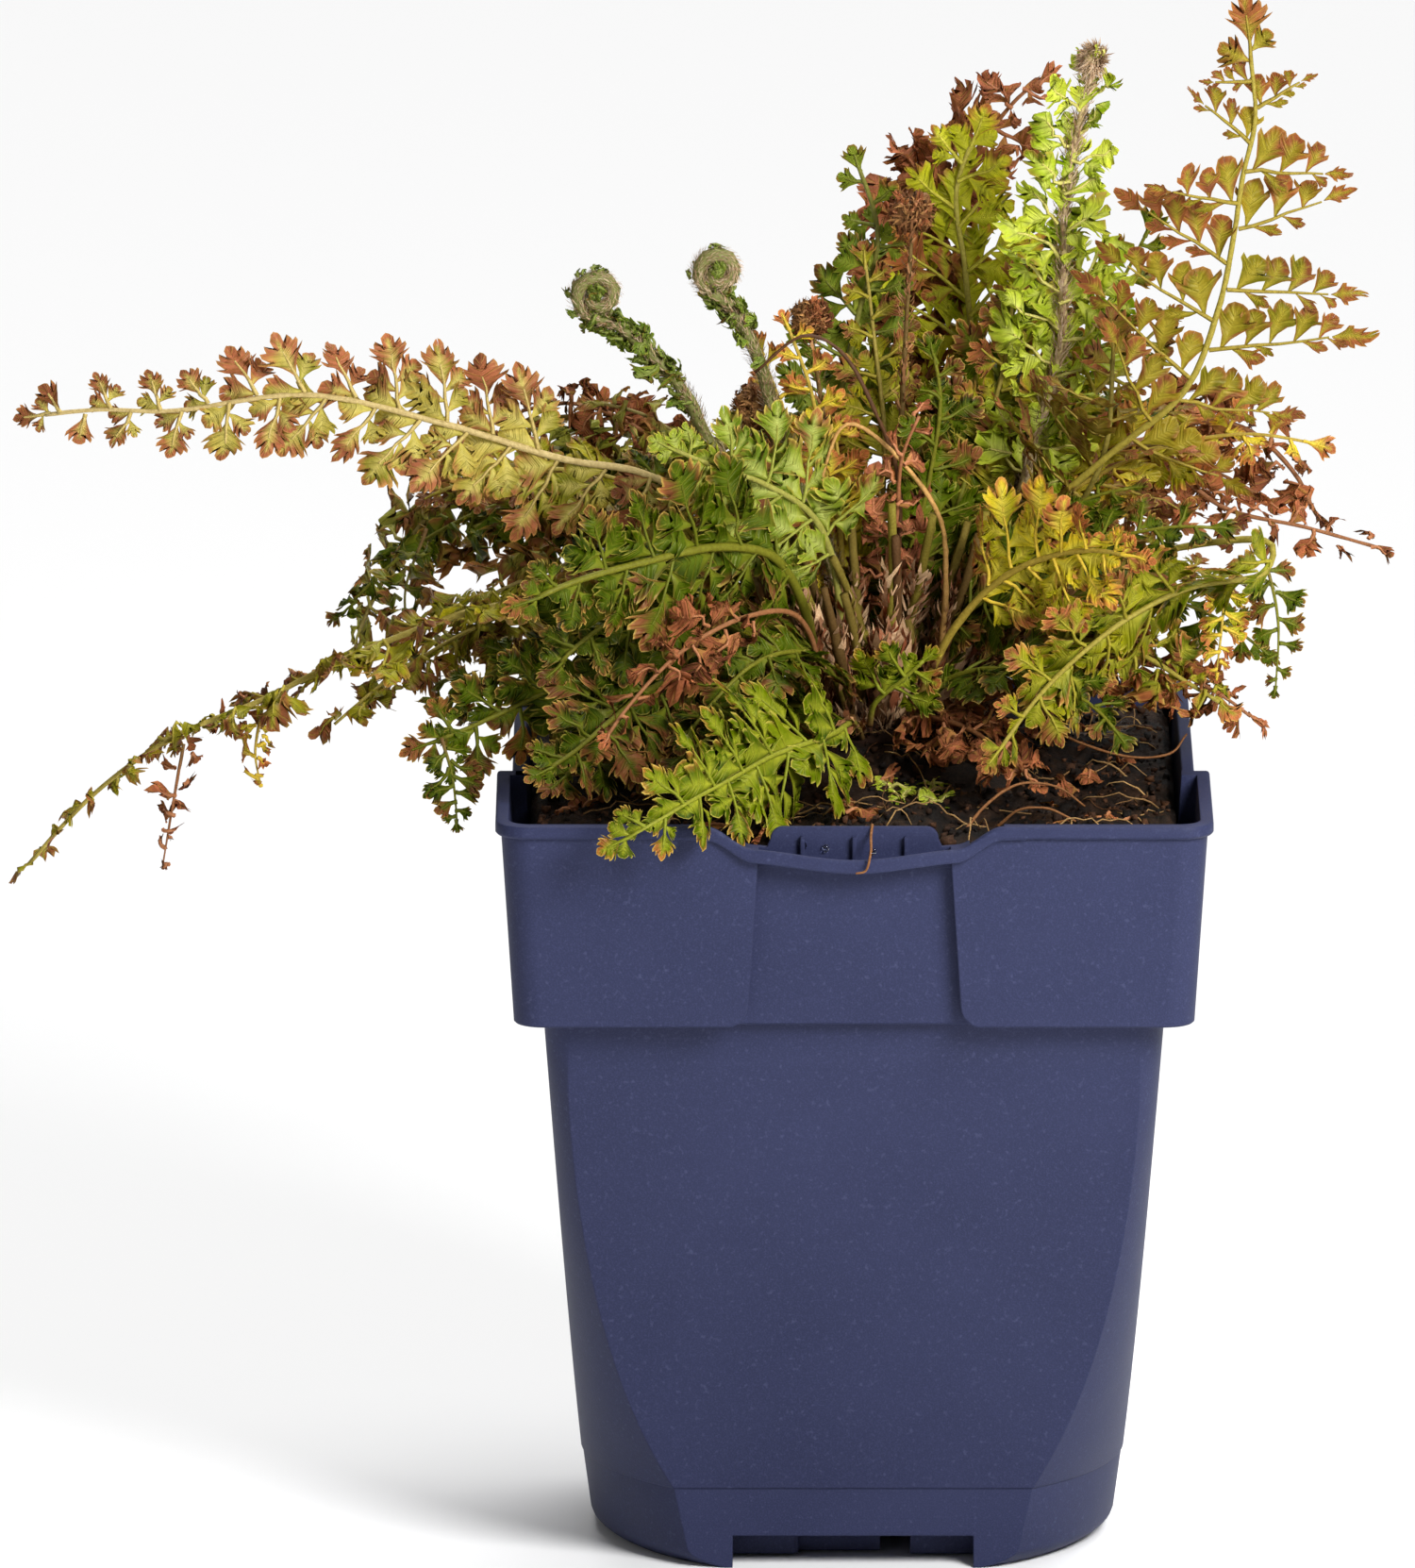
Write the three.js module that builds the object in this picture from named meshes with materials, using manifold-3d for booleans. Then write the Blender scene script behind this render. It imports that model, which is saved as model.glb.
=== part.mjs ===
// A lace-leaved fern in a square nursery pot, filled with peat.
// Millimetres, +Z up. The origin is on the table, on the pot's upright axis; the front faces -Y.
import * as THREE from 'three';
import { mergeVertices } from 'three/addons/utils/BufferGeometryUtils.js';
import Module from 'manifold-3d';

const wasm = await Module();
wasm.setup();

// ---------------------------------------------------------------- driving dimensions
const POT_HEIGHT = 144.5;
const RIM_HALF = 65; // half width over the rim bead: a 13 cm pot
const BEAD_HEIGHT = 2.4;
const COLLAR_TOP_HALF = 64.1;
const COLLAR_FOOT_HALF = 61.7;
const COLLAR_CORNER = 5.5;
const COLLAR_WALL = 1.5;
const LEDGE = 106.5; // height of the collar's lower edge
const LEDGE_THICKNESS = 1.4;
const BODY_TOP_HALF = 56.4;
const SEAM = 15; // height of the line between foot and body
const SEAM_HALF = 49.9;
const SEAM_STEP = 0.25;
const SEAM_FRONT = 38.4; // depth of the flat front at the seam
const FOOT_HALF = 47.6;
const FOOT_ROUND = 3.4; // how far the foot curls in at the table
const FOOT_ROUND_HEIGHT = 3.5;
const CORNER_START = 48.4; // corner radius at the seam, nearly a full circle
const CORNER_FADE = 45.5; // height over which the corner radius shrinks by e
const BODY_WALL = 1.5;
const FLOOR_UNDER = 6.5;
const FLOOR_TOP = 8.3;
const ARC_STEPS = 4;

const PANEL_FROM = 18; // the proud panels wrap each front corner, from here to here
const PANEL_PROUD = 2.8; // and stand out by this from the rest of the collar
const PANEL_CORNER = 4.3;
const DIP_HALF = 20.5; // where the rim dips for the label pocket
const LIP_HALF = 18.8;
const LIP_END = 64.2; // the lip's distance from the axis at its ends
const LIP_BOW = 66.4; // and in its middle
const LIP_TOP = 140;
const LIP_FOOT = 137.3;
const LIP_WALL = 1.1;
const TAB_HALF = 15.2;
const TAB_TOP = 143.6;
const TAB_SLOPE = 1.5; // how far the tab's ends lean in
const TAB_WALL = 1.2;

const NOTCH_HALF = 22;
const NOTCH_HEIGHT = 6;
const NOTCH_DEPTH = 8.6;
const NOTCH_WALL = 1.3;
const NOTCH_SLOT = [-10.6, 10.5]; // the gap in the wall behind a foot notch
const HUB_RADIUS = 5;
const DRAIN_HALF = 4;
const DRAIN_AT = [27, 14];

const CLEARANCE = 0.35; // between separate pieces
const PEAT_GAP = 0.6; // between the peat and the pot's wall
const PEAT_EDGE = 138.5;
const PEAT_MOUND = 11;
const PEAT_MOUND_RADIUS = 27;

const CROWN = new THREE.Vector3(5, 16, 146); // the middle of the fern's rootstock
const CROWN_RADIUS = 20;
const BLADE = 0.62; // thickness of a leaflet
const LOBE_PAIRS = [0, 12.5, 26]; // a leaflet this long has a first, second and third pair of lobes
const STALK_STEP = 9; // between the rings of a bare stalk
const CURL_STEP = 2.6;
const TIP_SHARE = 0.35; // the tip leaflet against the longest one

// ---------------------------------------------------------------- helpers
const V = (x, y, z) => new THREE.Vector3(x, y, z);
const mix = THREE.MathUtils.lerp;

function randomFrom(seed) {
  let state = seed >>> 0;
  return () => {
    state = (state + 0x6d2b79f5) >>> 0;
    let t = Math.imul(state ^ (state >>> 15), 1 | state);
    t = (t + Math.imul(t ^ (t >>> 7), 61 | t)) ^ t;
    return ((t ^ (t >>> 14)) >>> 0) / 4294967296;
  };
}

function solidFromArrays(vertProperties, triVerts) {
  return new wasm.Manifold(new wasm.Mesh({
    numProp: 3,
    vertProperties: new Float32Array(vertProperties),
    triVerts: new Uint32Array(triVerts),
  }));
}

function solidFrom(geometry) {
  const bare = geometry.index ? geometry.toNonIndexed() : geometry.clone();
  bare.deleteAttribute('normal');
  bare.deleteAttribute('uv');
  const merged = mergeVertices(bare, 1e-4);
  return solidFromArrays(merged.attributes.position.array, merged.index.array);
}

function box(x0, x1, y0, y1, z0, z1) {
  const g = new THREE.BoxGeometry(x1 - x0, y1 - y0, z1 - z0);
  return solidFrom(g.translate((x0 + x1) / 2, (y0 + y1) / 2, (z0 + z1) / 2));
}

function extruded(shape, depth, place, curveSegments = 6) {
  const g = new THREE.ExtrudeGeometry(shape, { depth, bevelEnabled: false, curveSegments, steps: 1 });
  return solidFrom(g.applyMatrix4(place));
}

const joined = (solids) => solids.reduce((all, one) => all.add(one));

function largestBody(solid) {
  return solid.decompose().sort((a, b) => b.volume() - a.volume())[0];
}

function geometryOf(solid) {
  const mesh = solid.getMesh();
  const g = new THREE.BufferGeometry();
  g.setAttribute('position', new THREE.BufferAttribute(mesh.vertProperties, 3));
  g.setIndex(new THREE.BufferAttribute(mesh.triVerts, 1));
  g.computeVertexNormals();
  return g;
}

// The closed skin through a stack of rings with the same number of points, from the first
// ring's middle to the last ring's middle.
function skin(rings) {
  const points = [];
  const faces = [];
  const count = rings[0].length;
  rings.forEach((ring) => ring.forEach((p) => points.push(p.x, p.y, p.z)));
  for (let r = 0; r + 1 < rings.length; r++) {
    for (let i = 0; i < count; i++) {
      const a = r * count + i;
      const b = r * count + ((i + 1) % count);
      faces.push(a, b, b + count, a, b + count, a + count);
    }
  }
  [rings[0], rings[rings.length - 1]].forEach((ring, end) => {
    const middle = ring.reduce((sum, p) => sum.add(p), V(0, 0, 0)).divideScalar(count);
    const hub = points.length / 3;
    const base = end * (rings.length - 1) * count;
    points.push(middle.x, middle.y, middle.z);
    for (let i = 0; i < count; i++) {
      const next = (i + 1) % count;
      if (end) faces.push(hub, base + i, base + next);
      else faces.push(hub, base + next, base + i);
    }
  });
  return solidFromArrays(points, faces);
}

// ---------------------------------------------------------------- the pot
// One level of the pot: a rounded square, cut flat at the front and the back.
function squareRing(z, side, front, corner) {
  const centre = side - corner;
  const sweep = Math.asin(Math.min(1, (front - centre) / corner));
  const arc = [];
  for (let i = 0; i <= ARC_STEPS; i++) {
    const a = (sweep * i) / ARC_STEPS;
    arc.push([centre + corner * Math.cos(a), centre + corner * Math.sin(a)]);
  }
  const back = [...arc].reverse();
  const quarters = [
    arc,
    back.map(([x, y]) => [-x, y]),
    arc.map(([x, y]) => [-x, -y]),
    back.map(([x, y]) => [x, -y]),
  ];
  return quarters.flat().map(([x, y]) => V(x, y, z));
}

function bodyRing(z, inset = 0) {
  const rise = (z - SEAM) / (LEDGE - SEAM);
  const side = mix(SEAM_HALF, BODY_TOP_HALF, rise);
  const front = mix(SEAM_FRONT, BODY_TOP_HALF, rise);
  const corner = CORNER_START * Math.exp(-(z - SEAM) / CORNER_FADE);
  return squareRing(z, side - inset, front - inset, corner - inset);
}

function footRing(z, inset = 0) {
  const curl = FOOT_ROUND * (1 - Math.min(z / FOOT_ROUND_HEIGHT, 1)) ** 2;
  const side = mix(FOOT_HALF, SEAM_HALF - SEAM_STEP, z / SEAM) - curl;
  const front = SEAM_FRONT - SEAM_STEP;
  return squareRing(z, side - inset, front - inset, side - inset - 1.5);
}

// The collar at its proud corner panels. The rest of it is PANEL_PROUD further in.
function collarRing(z, inset = 0) {
  const half = mix(COLLAR_FOOT_HALF, COLLAR_TOP_HALF, (z - LEDGE) / (POT_HEIGHT - LEDGE));
  return squareRing(z, half - inset, half - inset, Math.max(COLLAR_CORNER - inset, 1));
}

function beadRing(z, inset = 0) {
  const half = RIM_HALF - inset;
  return squareRing(z, half, half, COLLAR_CORNER + 0.6 - inset);
}

// The collar's outside from its lower edge to the top of the rim bead.
const collarRings = (inset) => [
  collarRing(LEDGE, inset),
  collarRing(POT_HEIGHT - BEAD_HEIGHT, inset),
  beadRing(POT_HEIGHT - BEAD_HEIGHT, inset),
  beadRing(POT_HEIGHT - 0.4, inset),
  beadRing(POT_HEIGHT, inset + 0.4),
];

const BODY_LEVELS = [SEAM, 23, 33, 46, 64, 84, LEDGE];

function potShell() {
  const underside = footRing(0, 1.8);
  return skin([
    underside.map((p) => V(p.x, p.y, FLOOR_UNDER)),
    underside,
    footRing(0),
    footRing(1),
    footRing(2.2),
    footRing(FOOT_ROUND_HEIGHT),
    footRing(SEAM),
    ...BODY_LEVELS.map((z) => bodyRing(z)),
    ...collarRings(PANEL_PROUD),
    collarRing(POT_HEIGHT, PANEL_PROUD + COLLAR_WALL),
    collarRing(LEDGE + LEDGE_THICKNESS, PANEL_PROUD + COLLAR_WALL),
    bodyRing(LEDGE, BODY_WALL).map((p) => V(p.x, p.y, LEDGE + LEDGE_THICKNESS)),
    ...[...BODY_LEVELS].reverse().map((z) => bodyRing(z, BODY_WALL)),
    footRing(FLOOR_TOP, BODY_WALL),
  ]);
}

// Everything past PANEL_FROM in x, with a round lower corner, over the pot's whole depth.
function panelRange() {
  const far = 2 * RIM_HALF;
  const lowX = PANEL_FROM + PANEL_CORNER;
  const lowZ = LEDGE + PANEL_CORNER;
  const shape = new THREE.Shape();
  shape.moveTo(lowX, LEDGE - 1);
  shape.lineTo(far, LEDGE - 1);
  shape.lineTo(far, POT_HEIGHT + 1);
  shape.lineTo(PANEL_FROM, POT_HEIGHT + 1);
  shape.absarc(lowX, lowZ, PANEL_CORNER, Math.PI, 1.5 * Math.PI, false);
  const place = new THREE.Matrix4()
    .makeTranslation(0, far, 0)
    .multiply(new THREE.Matrix4().makeRotationX(Math.PI / 2));
  return extruded(shape, 2 * far, place, 3);
}

// The proud panel that wraps the right front corner, and the hollow behind it.
function cornerPanel() {
  const range = panelRange();
  const inside = skin([
    collarRing(LEDGE - 1, PANEL_PROUD + COLLAR_WALL),
    collarRing(POT_HEIGHT + 1, PANEL_PROUD + COLLAR_WALL),
  ]);
  const panel = skin(collarRings(0))
    .subtract(inside)
    .intersect(range)
    .intersect(range.rotate([0, 0, -90]));
  const from = PANEL_FROM + COLLAR_WALL;
  const room = box(from, RIM_HALF, -RIM_HALF, -from, LEDGE + LEDGE_THICKNESS, POT_HEIGHT + 2);
  const hollow = skin([
    collarRing(LEDGE + LEDGE_THICKNESS, COLLAR_WALL),
    collarRing(POT_HEIGHT + 1, COLLAR_WALL),
  ]).intersect(room);
  return { panel, hollow };
}

function withCornerPanels(pot) {
  const { panel, hollow } = cornerPanel();
  return pot
    .add(panel)
    .add(panel.mirror([1, 0, 0]))
    .subtract(hollow)
    .subtract(hollow.mirror([1, 0, 0]));
}

// Seen from above, a plate from the collar's wall to an arc that bows out in front of it.
function bowedPlate(half, backAt, endAt, bowAt, z0, z1) {
  const rise = bowAt - endAt;
  const radius = (half * half + rise * rise) / (2 * rise);
  const opening = Math.asin(half / radius);
  const middle = -Math.PI / 2;
  const shape = new THREE.Shape();
  shape.moveTo(-half, -backAt);
  shape.absarc(0, radius - bowAt, radius, middle - opening, middle + opening, false);
  shape.lineTo(half, -backAt);
  return extruded(shape, z1 - z0, new THREE.Matrix4().makeTranslation(0, 0, z0), 5);
}

function withLabelPocket(pot) {
  const wallFace = COLLAR_TOP_HALF - PANEL_PROUD;
  const wallBack = wallFace - COLLAR_WALL;
  const tabFace = wallBack + TAB_WALL;
  const dip = box(-DIP_HALF, DIP_HALF, -RIM_HALF - 1, 1 - wallBack, LIP_TOP, POT_HEIGHT + 1);
  const lip = bowedPlate(LIP_HALF, wallFace - 1, LIP_END, LIP_BOW, LIP_FOOT, LIP_TOP);
  const pocket = bowedPlate(
    LIP_HALF - 1.2,
    tabFace,
    LIP_END - LIP_WALL,
    LIP_BOW - LIP_WALL,
    LIP_FOOT + LIP_WALL,
    POT_HEIGHT + 1,
  );
  const tabShape = new THREE.Shape();
  tabShape.moveTo(-TAB_HALF - 2 * TAB_SLOPE, LIP_FOOT);
  tabShape.lineTo(TAB_HALF + 2 * TAB_SLOPE, LIP_FOOT);
  tabShape.lineTo(TAB_HALF - TAB_SLOPE, TAB_TOP);
  tabShape.lineTo(-TAB_HALF + TAB_SLOPE, TAB_TOP);
  const upright = new THREE.Matrix4()
    .makeTranslation(0, -wallBack, 0)
    .multiply(new THREE.Matrix4().makeRotationX(Math.PI / 2));
  const tab = extruded(tabShape, TAB_WALL, upright);
  return pot.subtract(dip).add(lip).subtract(pocket).add(tab);
}

// Under the floor: a straight recess behind each foot notch, closed by a wall with a slot in it.
function withFootNotch(pot, quarter) {
  const face = SEAM_FRONT;
  const wallAt = NOTCH_DEPTH - face;
  const [slotFrom, slotTo] = NOTCH_SLOT;
  const cut = box(-NOTCH_HALF, NOTCH_HALF, -face - 5, wallAt, -1, NOTCH_HEIGHT);
  const wall = (x0, x1, y0, y1) => box(x0, x1, wallAt + y0, wallAt + y1, 0.6, FLOOR_UNDER + 0.5);
  const walls = joined([
    wall(-NOTCH_HALF - NOTCH_WALL, slotFrom, 0, NOTCH_WALL),
    wall(slotTo, NOTCH_HALF + NOTCH_WALL, 0, NOTCH_WALL),
    wall(slotFrom - 0.6, 5, 2 * NOTCH_WALL, 3 * NOTCH_WALL),
    wall(slotFrom - 0.6, slotFrom + 0.6, 0.2, 3 * NOTCH_WALL - 0.1),
  ]);
  return pot.subtract(cut.rotate([0, 0, 90 * quarter])).add(walls.rotate([0, 0, 90 * quarter]));
}

function makePot() {
  let pot = withLabelPocket(withCornerPanels(potShell()));
  pot = withFootNotch(withFootNotch(pot, 0), 2);
  const hubHeight = FLOOR_UNDER + 0.5;
  const hub = new THREE.CylinderGeometry(HUB_RADIUS, HUB_RADIUS + 0.6, hubHeight, 12);
  pot = pot.add(solidFrom(hub.rotateX(Math.PI / 2).translate(0, 0, hubHeight / 2)));
  const drain = box(-DRAIN_HALF, DRAIN_HALF, -DRAIN_HALF, DRAIN_HALF, FLOOR_UNDER - 2, FLOOR_TOP + 2);
  [-1, 1].forEach((side) => [-1, 1].forEach((end) => {
    pot = pot.subtract(drain.translate([side * DRAIN_AT[0], end * DRAIN_AT[1], 0]));
  }));
  return pot;
}

// ---------------------------------------------------------------- the peat
function peatHeight(x, y) {
  const reach = Math.hypot(x - CROWN.x, y - CROWN.y) / PEAT_MOUND_RADIUS;
  const lumps = Math.sin(x * 0.31 + 1) * Math.cos(y * 0.27) + 0.7 * Math.sin(x * 0.13 - y * 0.19);
  return PEAT_EDGE + PEAT_MOUND * Math.exp(-reach * reach) + 0.9 * lumps;
}

function makePeat() {
  const inner = PANEL_PROUD + COLLAR_WALL + PEAT_GAP;
  const top = collarRing(PEAT_EDGE - 2, inner);
  const surface = [1, 0.86, 0.68, 0.48, 0.26].map((share) => top.map((p) => {
    const x = mix(CROWN.x, p.x, share);
    const y = mix(CROWN.y, p.y, share);
    return V(x, y, share === 1 ? PEAT_EDGE - 1.5 : peatHeight(x, y));
  }));
  return skin([
    footRing(FLOOR_TOP + CLEARANCE, BODY_WALL + PEAT_GAP),
    ...BODY_LEVELS.map((z) => bodyRing(z, BODY_WALL + PEAT_GAP)),
    bodyRing(LEDGE, BODY_WALL + PEAT_GAP).map((p) => V(p.x, p.y, LEDGE + LEDGE_THICKNESS + CLEARANCE)),
    collarRing(LEDGE + LEDGE_THICKNESS + CLEARANCE, inner),
    ...surface,
  ]);
}

// ---------------------------------------------------------------- the fern
// A blade or stalk is a middle surface given a thickness at every point. Both faces are split
// into the same triangles, and every open edge gets a wall.
class Sheet {
  constructor() {
    this.points = [];
    this.faces = [];
  }

  add(point, normal, thickness) {
    this.points.push({ point, offset: normal.clone().setLength(thickness / 2) });
    return this.points.length - 1;
  }

  face(...corners) {
    for (let i = 1; i + 1 < corners.length; i++) {
      this.faces.push([corners[0], corners[i], corners[i + 1]]);
    }
  }

  solid() {
    const coords = this.points.flatMap(({ point, offset }) => [
      ...point.clone().add(offset).toArray(),
      ...point.clone().sub(offset).toArray(),
    ]);
    const open = new Map();
    const triangles = [];
    this.faces.forEach((corners) => {
      const [a, b, c] = corners;
      triangles.push(2 * a, 2 * b, 2 * c, 2 * b + 1, 2 * a + 1, 2 * c + 1);
      corners.forEach((p, i) => {
        const q = corners[(i + 1) % 3];
        if (!open.delete(q + '>' + p)) open.set(p + '>' + q, [p, q]);
      });
    });
    open.forEach(([p, q]) => {
      triangles.push(2 * q, 2 * p, 2 * p + 1, 2 * q, 2 * p + 1, 2 * q + 1);
    });
    return solidFromArrays(coords, triangles);
  }
}

// A young frond's rolled end: a spiral in the plane that its leaflets stand across.
function curlPoints(points, across, { radius, turns }) {
  const end = points[points.length - 1];
  const along = end.clone().sub(points[points.length - 2]).normalize();
  const inward = new THREE.Vector3().crossVectors(along, across).normalize();
  const centre = end.clone().addScaledVector(inward, radius);
  const steps = Math.round(turns * 9);
  return Array.from({ length: steps }, (_, i) => {
    const share = (i + 1) / steps;
    const angle = 2 * Math.PI * turns * share;
    const r = radius * (1 - 0.6 * share);
    return centre.clone()
      .addScaledVector(inward, -r * Math.cos(angle))
      .addScaledVector(along, r * Math.sin(angle));
  });
}

// Where a frond's stalk runs, and which way its leaflets lie.
class Route {
  constructor(frond, sway = V(0, 0, 0)) {
    const points = [frond.base, ...frond.route].map((p) => V(...p));
    const last = points.length - 1;
    points.forEach((p, i) => p.addScaledVector(sway, Math.sin((Math.PI * i) / last)));
    this.across = V(...frond.across).normalize();
    const open = new THREE.CatmullRomCurve3([...points], false, 'centripetal');
    if (frond.curl) points.push(...curlPoints(points, this.across, frond.curl));
    this.curve = new THREE.CatmullRomCurve3(points, false, 'centripetal');
    this.length = this.curve.getLength();
    this.leafEnd = open.getLength() - (frond.curl ? 0 : frond.reach * TIP_SHARE);
    this.acrossTip = frond.acrossTip ? V(...frond.acrossTip).normalize() : this.across;
  }

  at(distance) {
    const u = THREE.MathUtils.clamp(distance / this.length, 0, 1);
    const point = this.curve.getPointAt(u);
    const along = this.curve.getTangentAt(u);
    const side = this.across.clone().lerp(this.acrossTip, u);
    side.addScaledVector(along, -side.dot(along)).normalize();
    return { point, along, side, face: new THREE.Vector3().crossVectors(along, side) };
  }
}

// The stations where pairs of leaflets sit: from the first bare stretch to the tip.
function leafletPlan(frond, route) {
  const random = randomFrom(frond.seed);
  const first = route.length * frond.bare;
  const run = route.leafEnd - first;
  const spacing = run / frond.pairs;
  const plan = [];
  for (let i = 0; i < frond.pairs; i++) {
    const u = (i + 0.5) / frond.pairs;
    const envelope = (0.62 + 0.38 * Math.min(1, u / 0.3)) * (1 - 0.72 * u ** 1.7);
    [-1, 1].forEach((side) => plan.push({
      side,
      at: first + spacing * (i + 0.5),
      reach: frond.reach * envelope * (0.86 + 0.28 * random()),
      lean: frond.lean + 0.22 * (random() - 0.5),
      tilt: frond.cup + 0.35 * (random() - 0.5),
      width: Math.min(0.47 * spacing * Math.sin(frond.lean), frond.reach * 0.42),
      wilt: frond.wilt * (0.5 + random()),
    }));
  }
  return plan;
}

const HALF_FOOT = 0.95; // half the width of a leaflet's foot on the stalk

// One leaflet, cut nearly to its rib into lobes. low and high are its foot on the stalk.
function addLeaflet(sheet, low, high, start, leaf, frame, extra) {
  const out = frame.side.clone().multiplyScalar(leaf.side);
  out.multiplyScalar(Math.cos(leaf.tilt)).addScaledVector(frame.face, Math.sin(leaf.tilt));
  const rib = out.clone().multiplyScalar(Math.sin(leaf.lean));
  rib.addScaledVector(frame.along, Math.cos(leaf.lean));
  const cross = frame.along.clone().addScaledVector(rib, -frame.along.dot(rib)).normalize();
  const normal = new THREE.Vector3().crossVectors(cross, rib).multiplyScalar(leaf.side);
  const spot = (s, t) => {
    const droop = leaf.wilt * s * s / leaf.reach + 0.12 * t * t / leaf.width;
    return start.clone()
      .addScaledVector(rib, s)
      .addScaledVector(cross, t)
      .addScaledVector(normal, -droop);
  };
  const add = (s, t) => sheet.add(spot(s, t), normal, BLADE + extra);
  const pairs = LOBE_PAIRS.filter((least) => leaf.reach > least).length;
  const turn = (corners) => sheet.face(...(leaf.side > 0 ? corners.reverse() : corners));
  let under = low;
  let over = high;
  for (let k = 0; k < pairs; k++) {
    const from = (k + 0.1) / (pairs + 0.75);
    const to = (k + 1) / (pairs + 0.75);
    const spread = leaf.width * (1 - 0.3 * k / pairs);
    const notchUnder = add(leaf.reach * to, -0.5);
    const notchOver = add(leaf.reach * (to - 0.04), 0.5);
    const tipUnder = add(leaf.reach * mix(from, to, 0.95), -spread);
    const tipOver = add(leaf.reach * mix(from, to, 0.7), spread);
    turn([under, tipUnder, notchUnder]);
    turn([over, notchOver, tipOver]);
    turn([under, notchUnder, notchOver, over]);
    under = notchUnder;
    over = notchOver;
  }
  turn([under, add(leaf.reach, 0), over]);
}

// The stalk thins from its foot to its tip.
const stalkWidth = (frond, share) => frond.stipe * mix(1, frond.thin, Math.min(1, share * 1.1));

class Stalk {
  constructor(frond, route, extra = 0) {
    Object.assign(this, { frond, route, extra, sheet: new Sheet(), last: null });
  }

  // Carries the stalk on to this distance from its foot.
  grow(distance) {
    const frame = this.route.at(distance);
    const width = stalkWidth(this.frond, distance / this.route.length) + this.extra;
    const half = frame.side.clone().multiplyScalar(width / 2);
    const thickness = width * this.frond.depth;
    const left = this.sheet.add(frame.point.clone().add(half), frame.face, thickness);
    const right = this.sheet.add(frame.point.clone().sub(half), frame.face, thickness);
    if (this.last) this.sheet.face(this.last.right, right, left, this.last.left);
    this.last = { left, right, frame, width };
    return this.last;
  }
}

const leafletFeet = (frond, route) => (
  [...new Set(leafletPlan(frond, route).map((leaf) => leaf.at))]
);

// The distances from its foot at which a stalk has a ring.
function stations(frond, route) {
  const bare = route.length * frond.bare;
  const steps = Math.ceil(bare / STALK_STEP);
  const feet = leafletFeet(frond, route);
  const stops = [CLEARANCE];
  for (let i = 1; i < steps; i++) stops.push((bare * i) / steps);
  feet.forEach((at) => stops.push(at - HALF_FOOT, at + HALF_FOOT));
  if (!frond.curl) return [...stops, route.length - frond.reach * TIP_SHARE];
  const last = stops[stops.length - 1];
  const turns = Math.ceil((route.length - last) / CURL_STEP);
  for (let i = 1; i <= turns; i++) stops.push(mix(last, route.length, i / turns));
  return stops;
}

// The stalk alone, as far as the given distance. With extra it is the room that the stalk needs.
function stalkSolid(frond, route, extra = 0, end = Infinity) {
  const stalk = new Stalk(frond, route, extra);
  stations(frond, route).forEach((at, i) => {
    if (at <= end) stalk.grow(extra && !i ? 0 : at);
  });
  return stalk.sheet.solid();
}

// The leaflet that ends a frond: a point between two side lobes.
function addTipLeaflet(stalk) {
  const { left, right, frame } = stalk.last;
  const size = stalk.frond.reach * TIP_SHARE;
  const add = (forward, sideways) => {
    const spot = frame.point.clone().addScaledVector(frame.along, forward * size);
    return stalk.sheet.add(spot.addScaledVector(frame.side, sideways * size), frame.face, BLADE);
  };
  const notchLeft = add(0.4, 0.12);
  const notchRight = add(0.4, -0.12);
  stalk.sheet.face(right, notchRight, notchLeft, left);
  stalk.sheet.face(right, add(0.42, -0.5), notchRight);
  stalk.sheet.face(left, notchLeft, add(0.42, 0.5));
  stalk.sheet.face(notchRight, add(1, 0), notchLeft);
}

// The whole frond as one thin solid: its stalk, its leaflets and the leaflet at its tip.
function frondSolid(frond, route, leaflets) {
  const stalk = new Stalk(frond, route);
  const rings = new Map(stations(frond, route).map((at) => [at, stalk.grow(at)]));
  leaflets.forEach((leaf) => {
    const edge = leaf.side > 0 ? 'left' : 'right';
    const low = rings.get(leaf.at - HALF_FOOT)[edge];
    const high = rings.get(leaf.at + HALF_FOOT)[edge];
    addLeaflet(stalk.sheet, low, high, leafletFoot(frond, route, leaf), leaf, route.at(leaf.at), 0);
  });
  if (!frond.curl) addTipLeaflet(stalk);
  return stalk.sheet.solid();
}

function leafletFoot(frond, route, leaf) {
  const frame = route.at(leaf.at);
  const half = stalkWidth(frond, leaf.at / route.length) / 2;
  return frame.point.clone().addScaledVector(frame.side, leaf.side * half);
}

// A leaflet by itself, a little stouter than real, to try whether its place is free.
function trialLeaflet(frond, route, leaf) {
  const frame = route.at(leaf.at);
  const foot = leafletFoot(frond, route, leaf).addScaledVector(frame.side, leaf.side * CLEARANCE);
  const sheet = new Sheet();
  const low = sheet.add(foot.clone().addScaledVector(frame.along, -HALF_FOOT), frame.face, BLADE);
  const high = sheet.add(foot.clone().addScaledVector(frame.along, HALF_FOOT), frame.face, BLADE);
  addLeaflet(sheet, low, high, foot, leaf, frame, 2 * CLEARANCE);
  return sheet.solid();
}

// ---------------------------------------------------------------- the fronds, one by one
// base and route: the stalk's line, foot first. across: the side that its left leaflets point to.
// bare: the share of the stalk without leaflets. reach: the longest leaflet. cup: how far the
// leaflets lift. wilt: how far they hang. depth: the stalk's thickness over its width.
const COMMON = {
  pairs: 6, reach: 17, bare: 0.4, lean: 1.15, cup: 0.12, wilt: 0.12, stipe: 1.8, thin: 0.45, depth: 0.9,
};
const GREEN = '#4f6b2c';
const OLIVE = '#8a8a3a';
const GOLD = '#a39a4a';
const LIME = '#9dbb3c';
const DARK = '#3c5334';
const RUST = '#7d4f33';
const TAN = '#a59a78';

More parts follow.
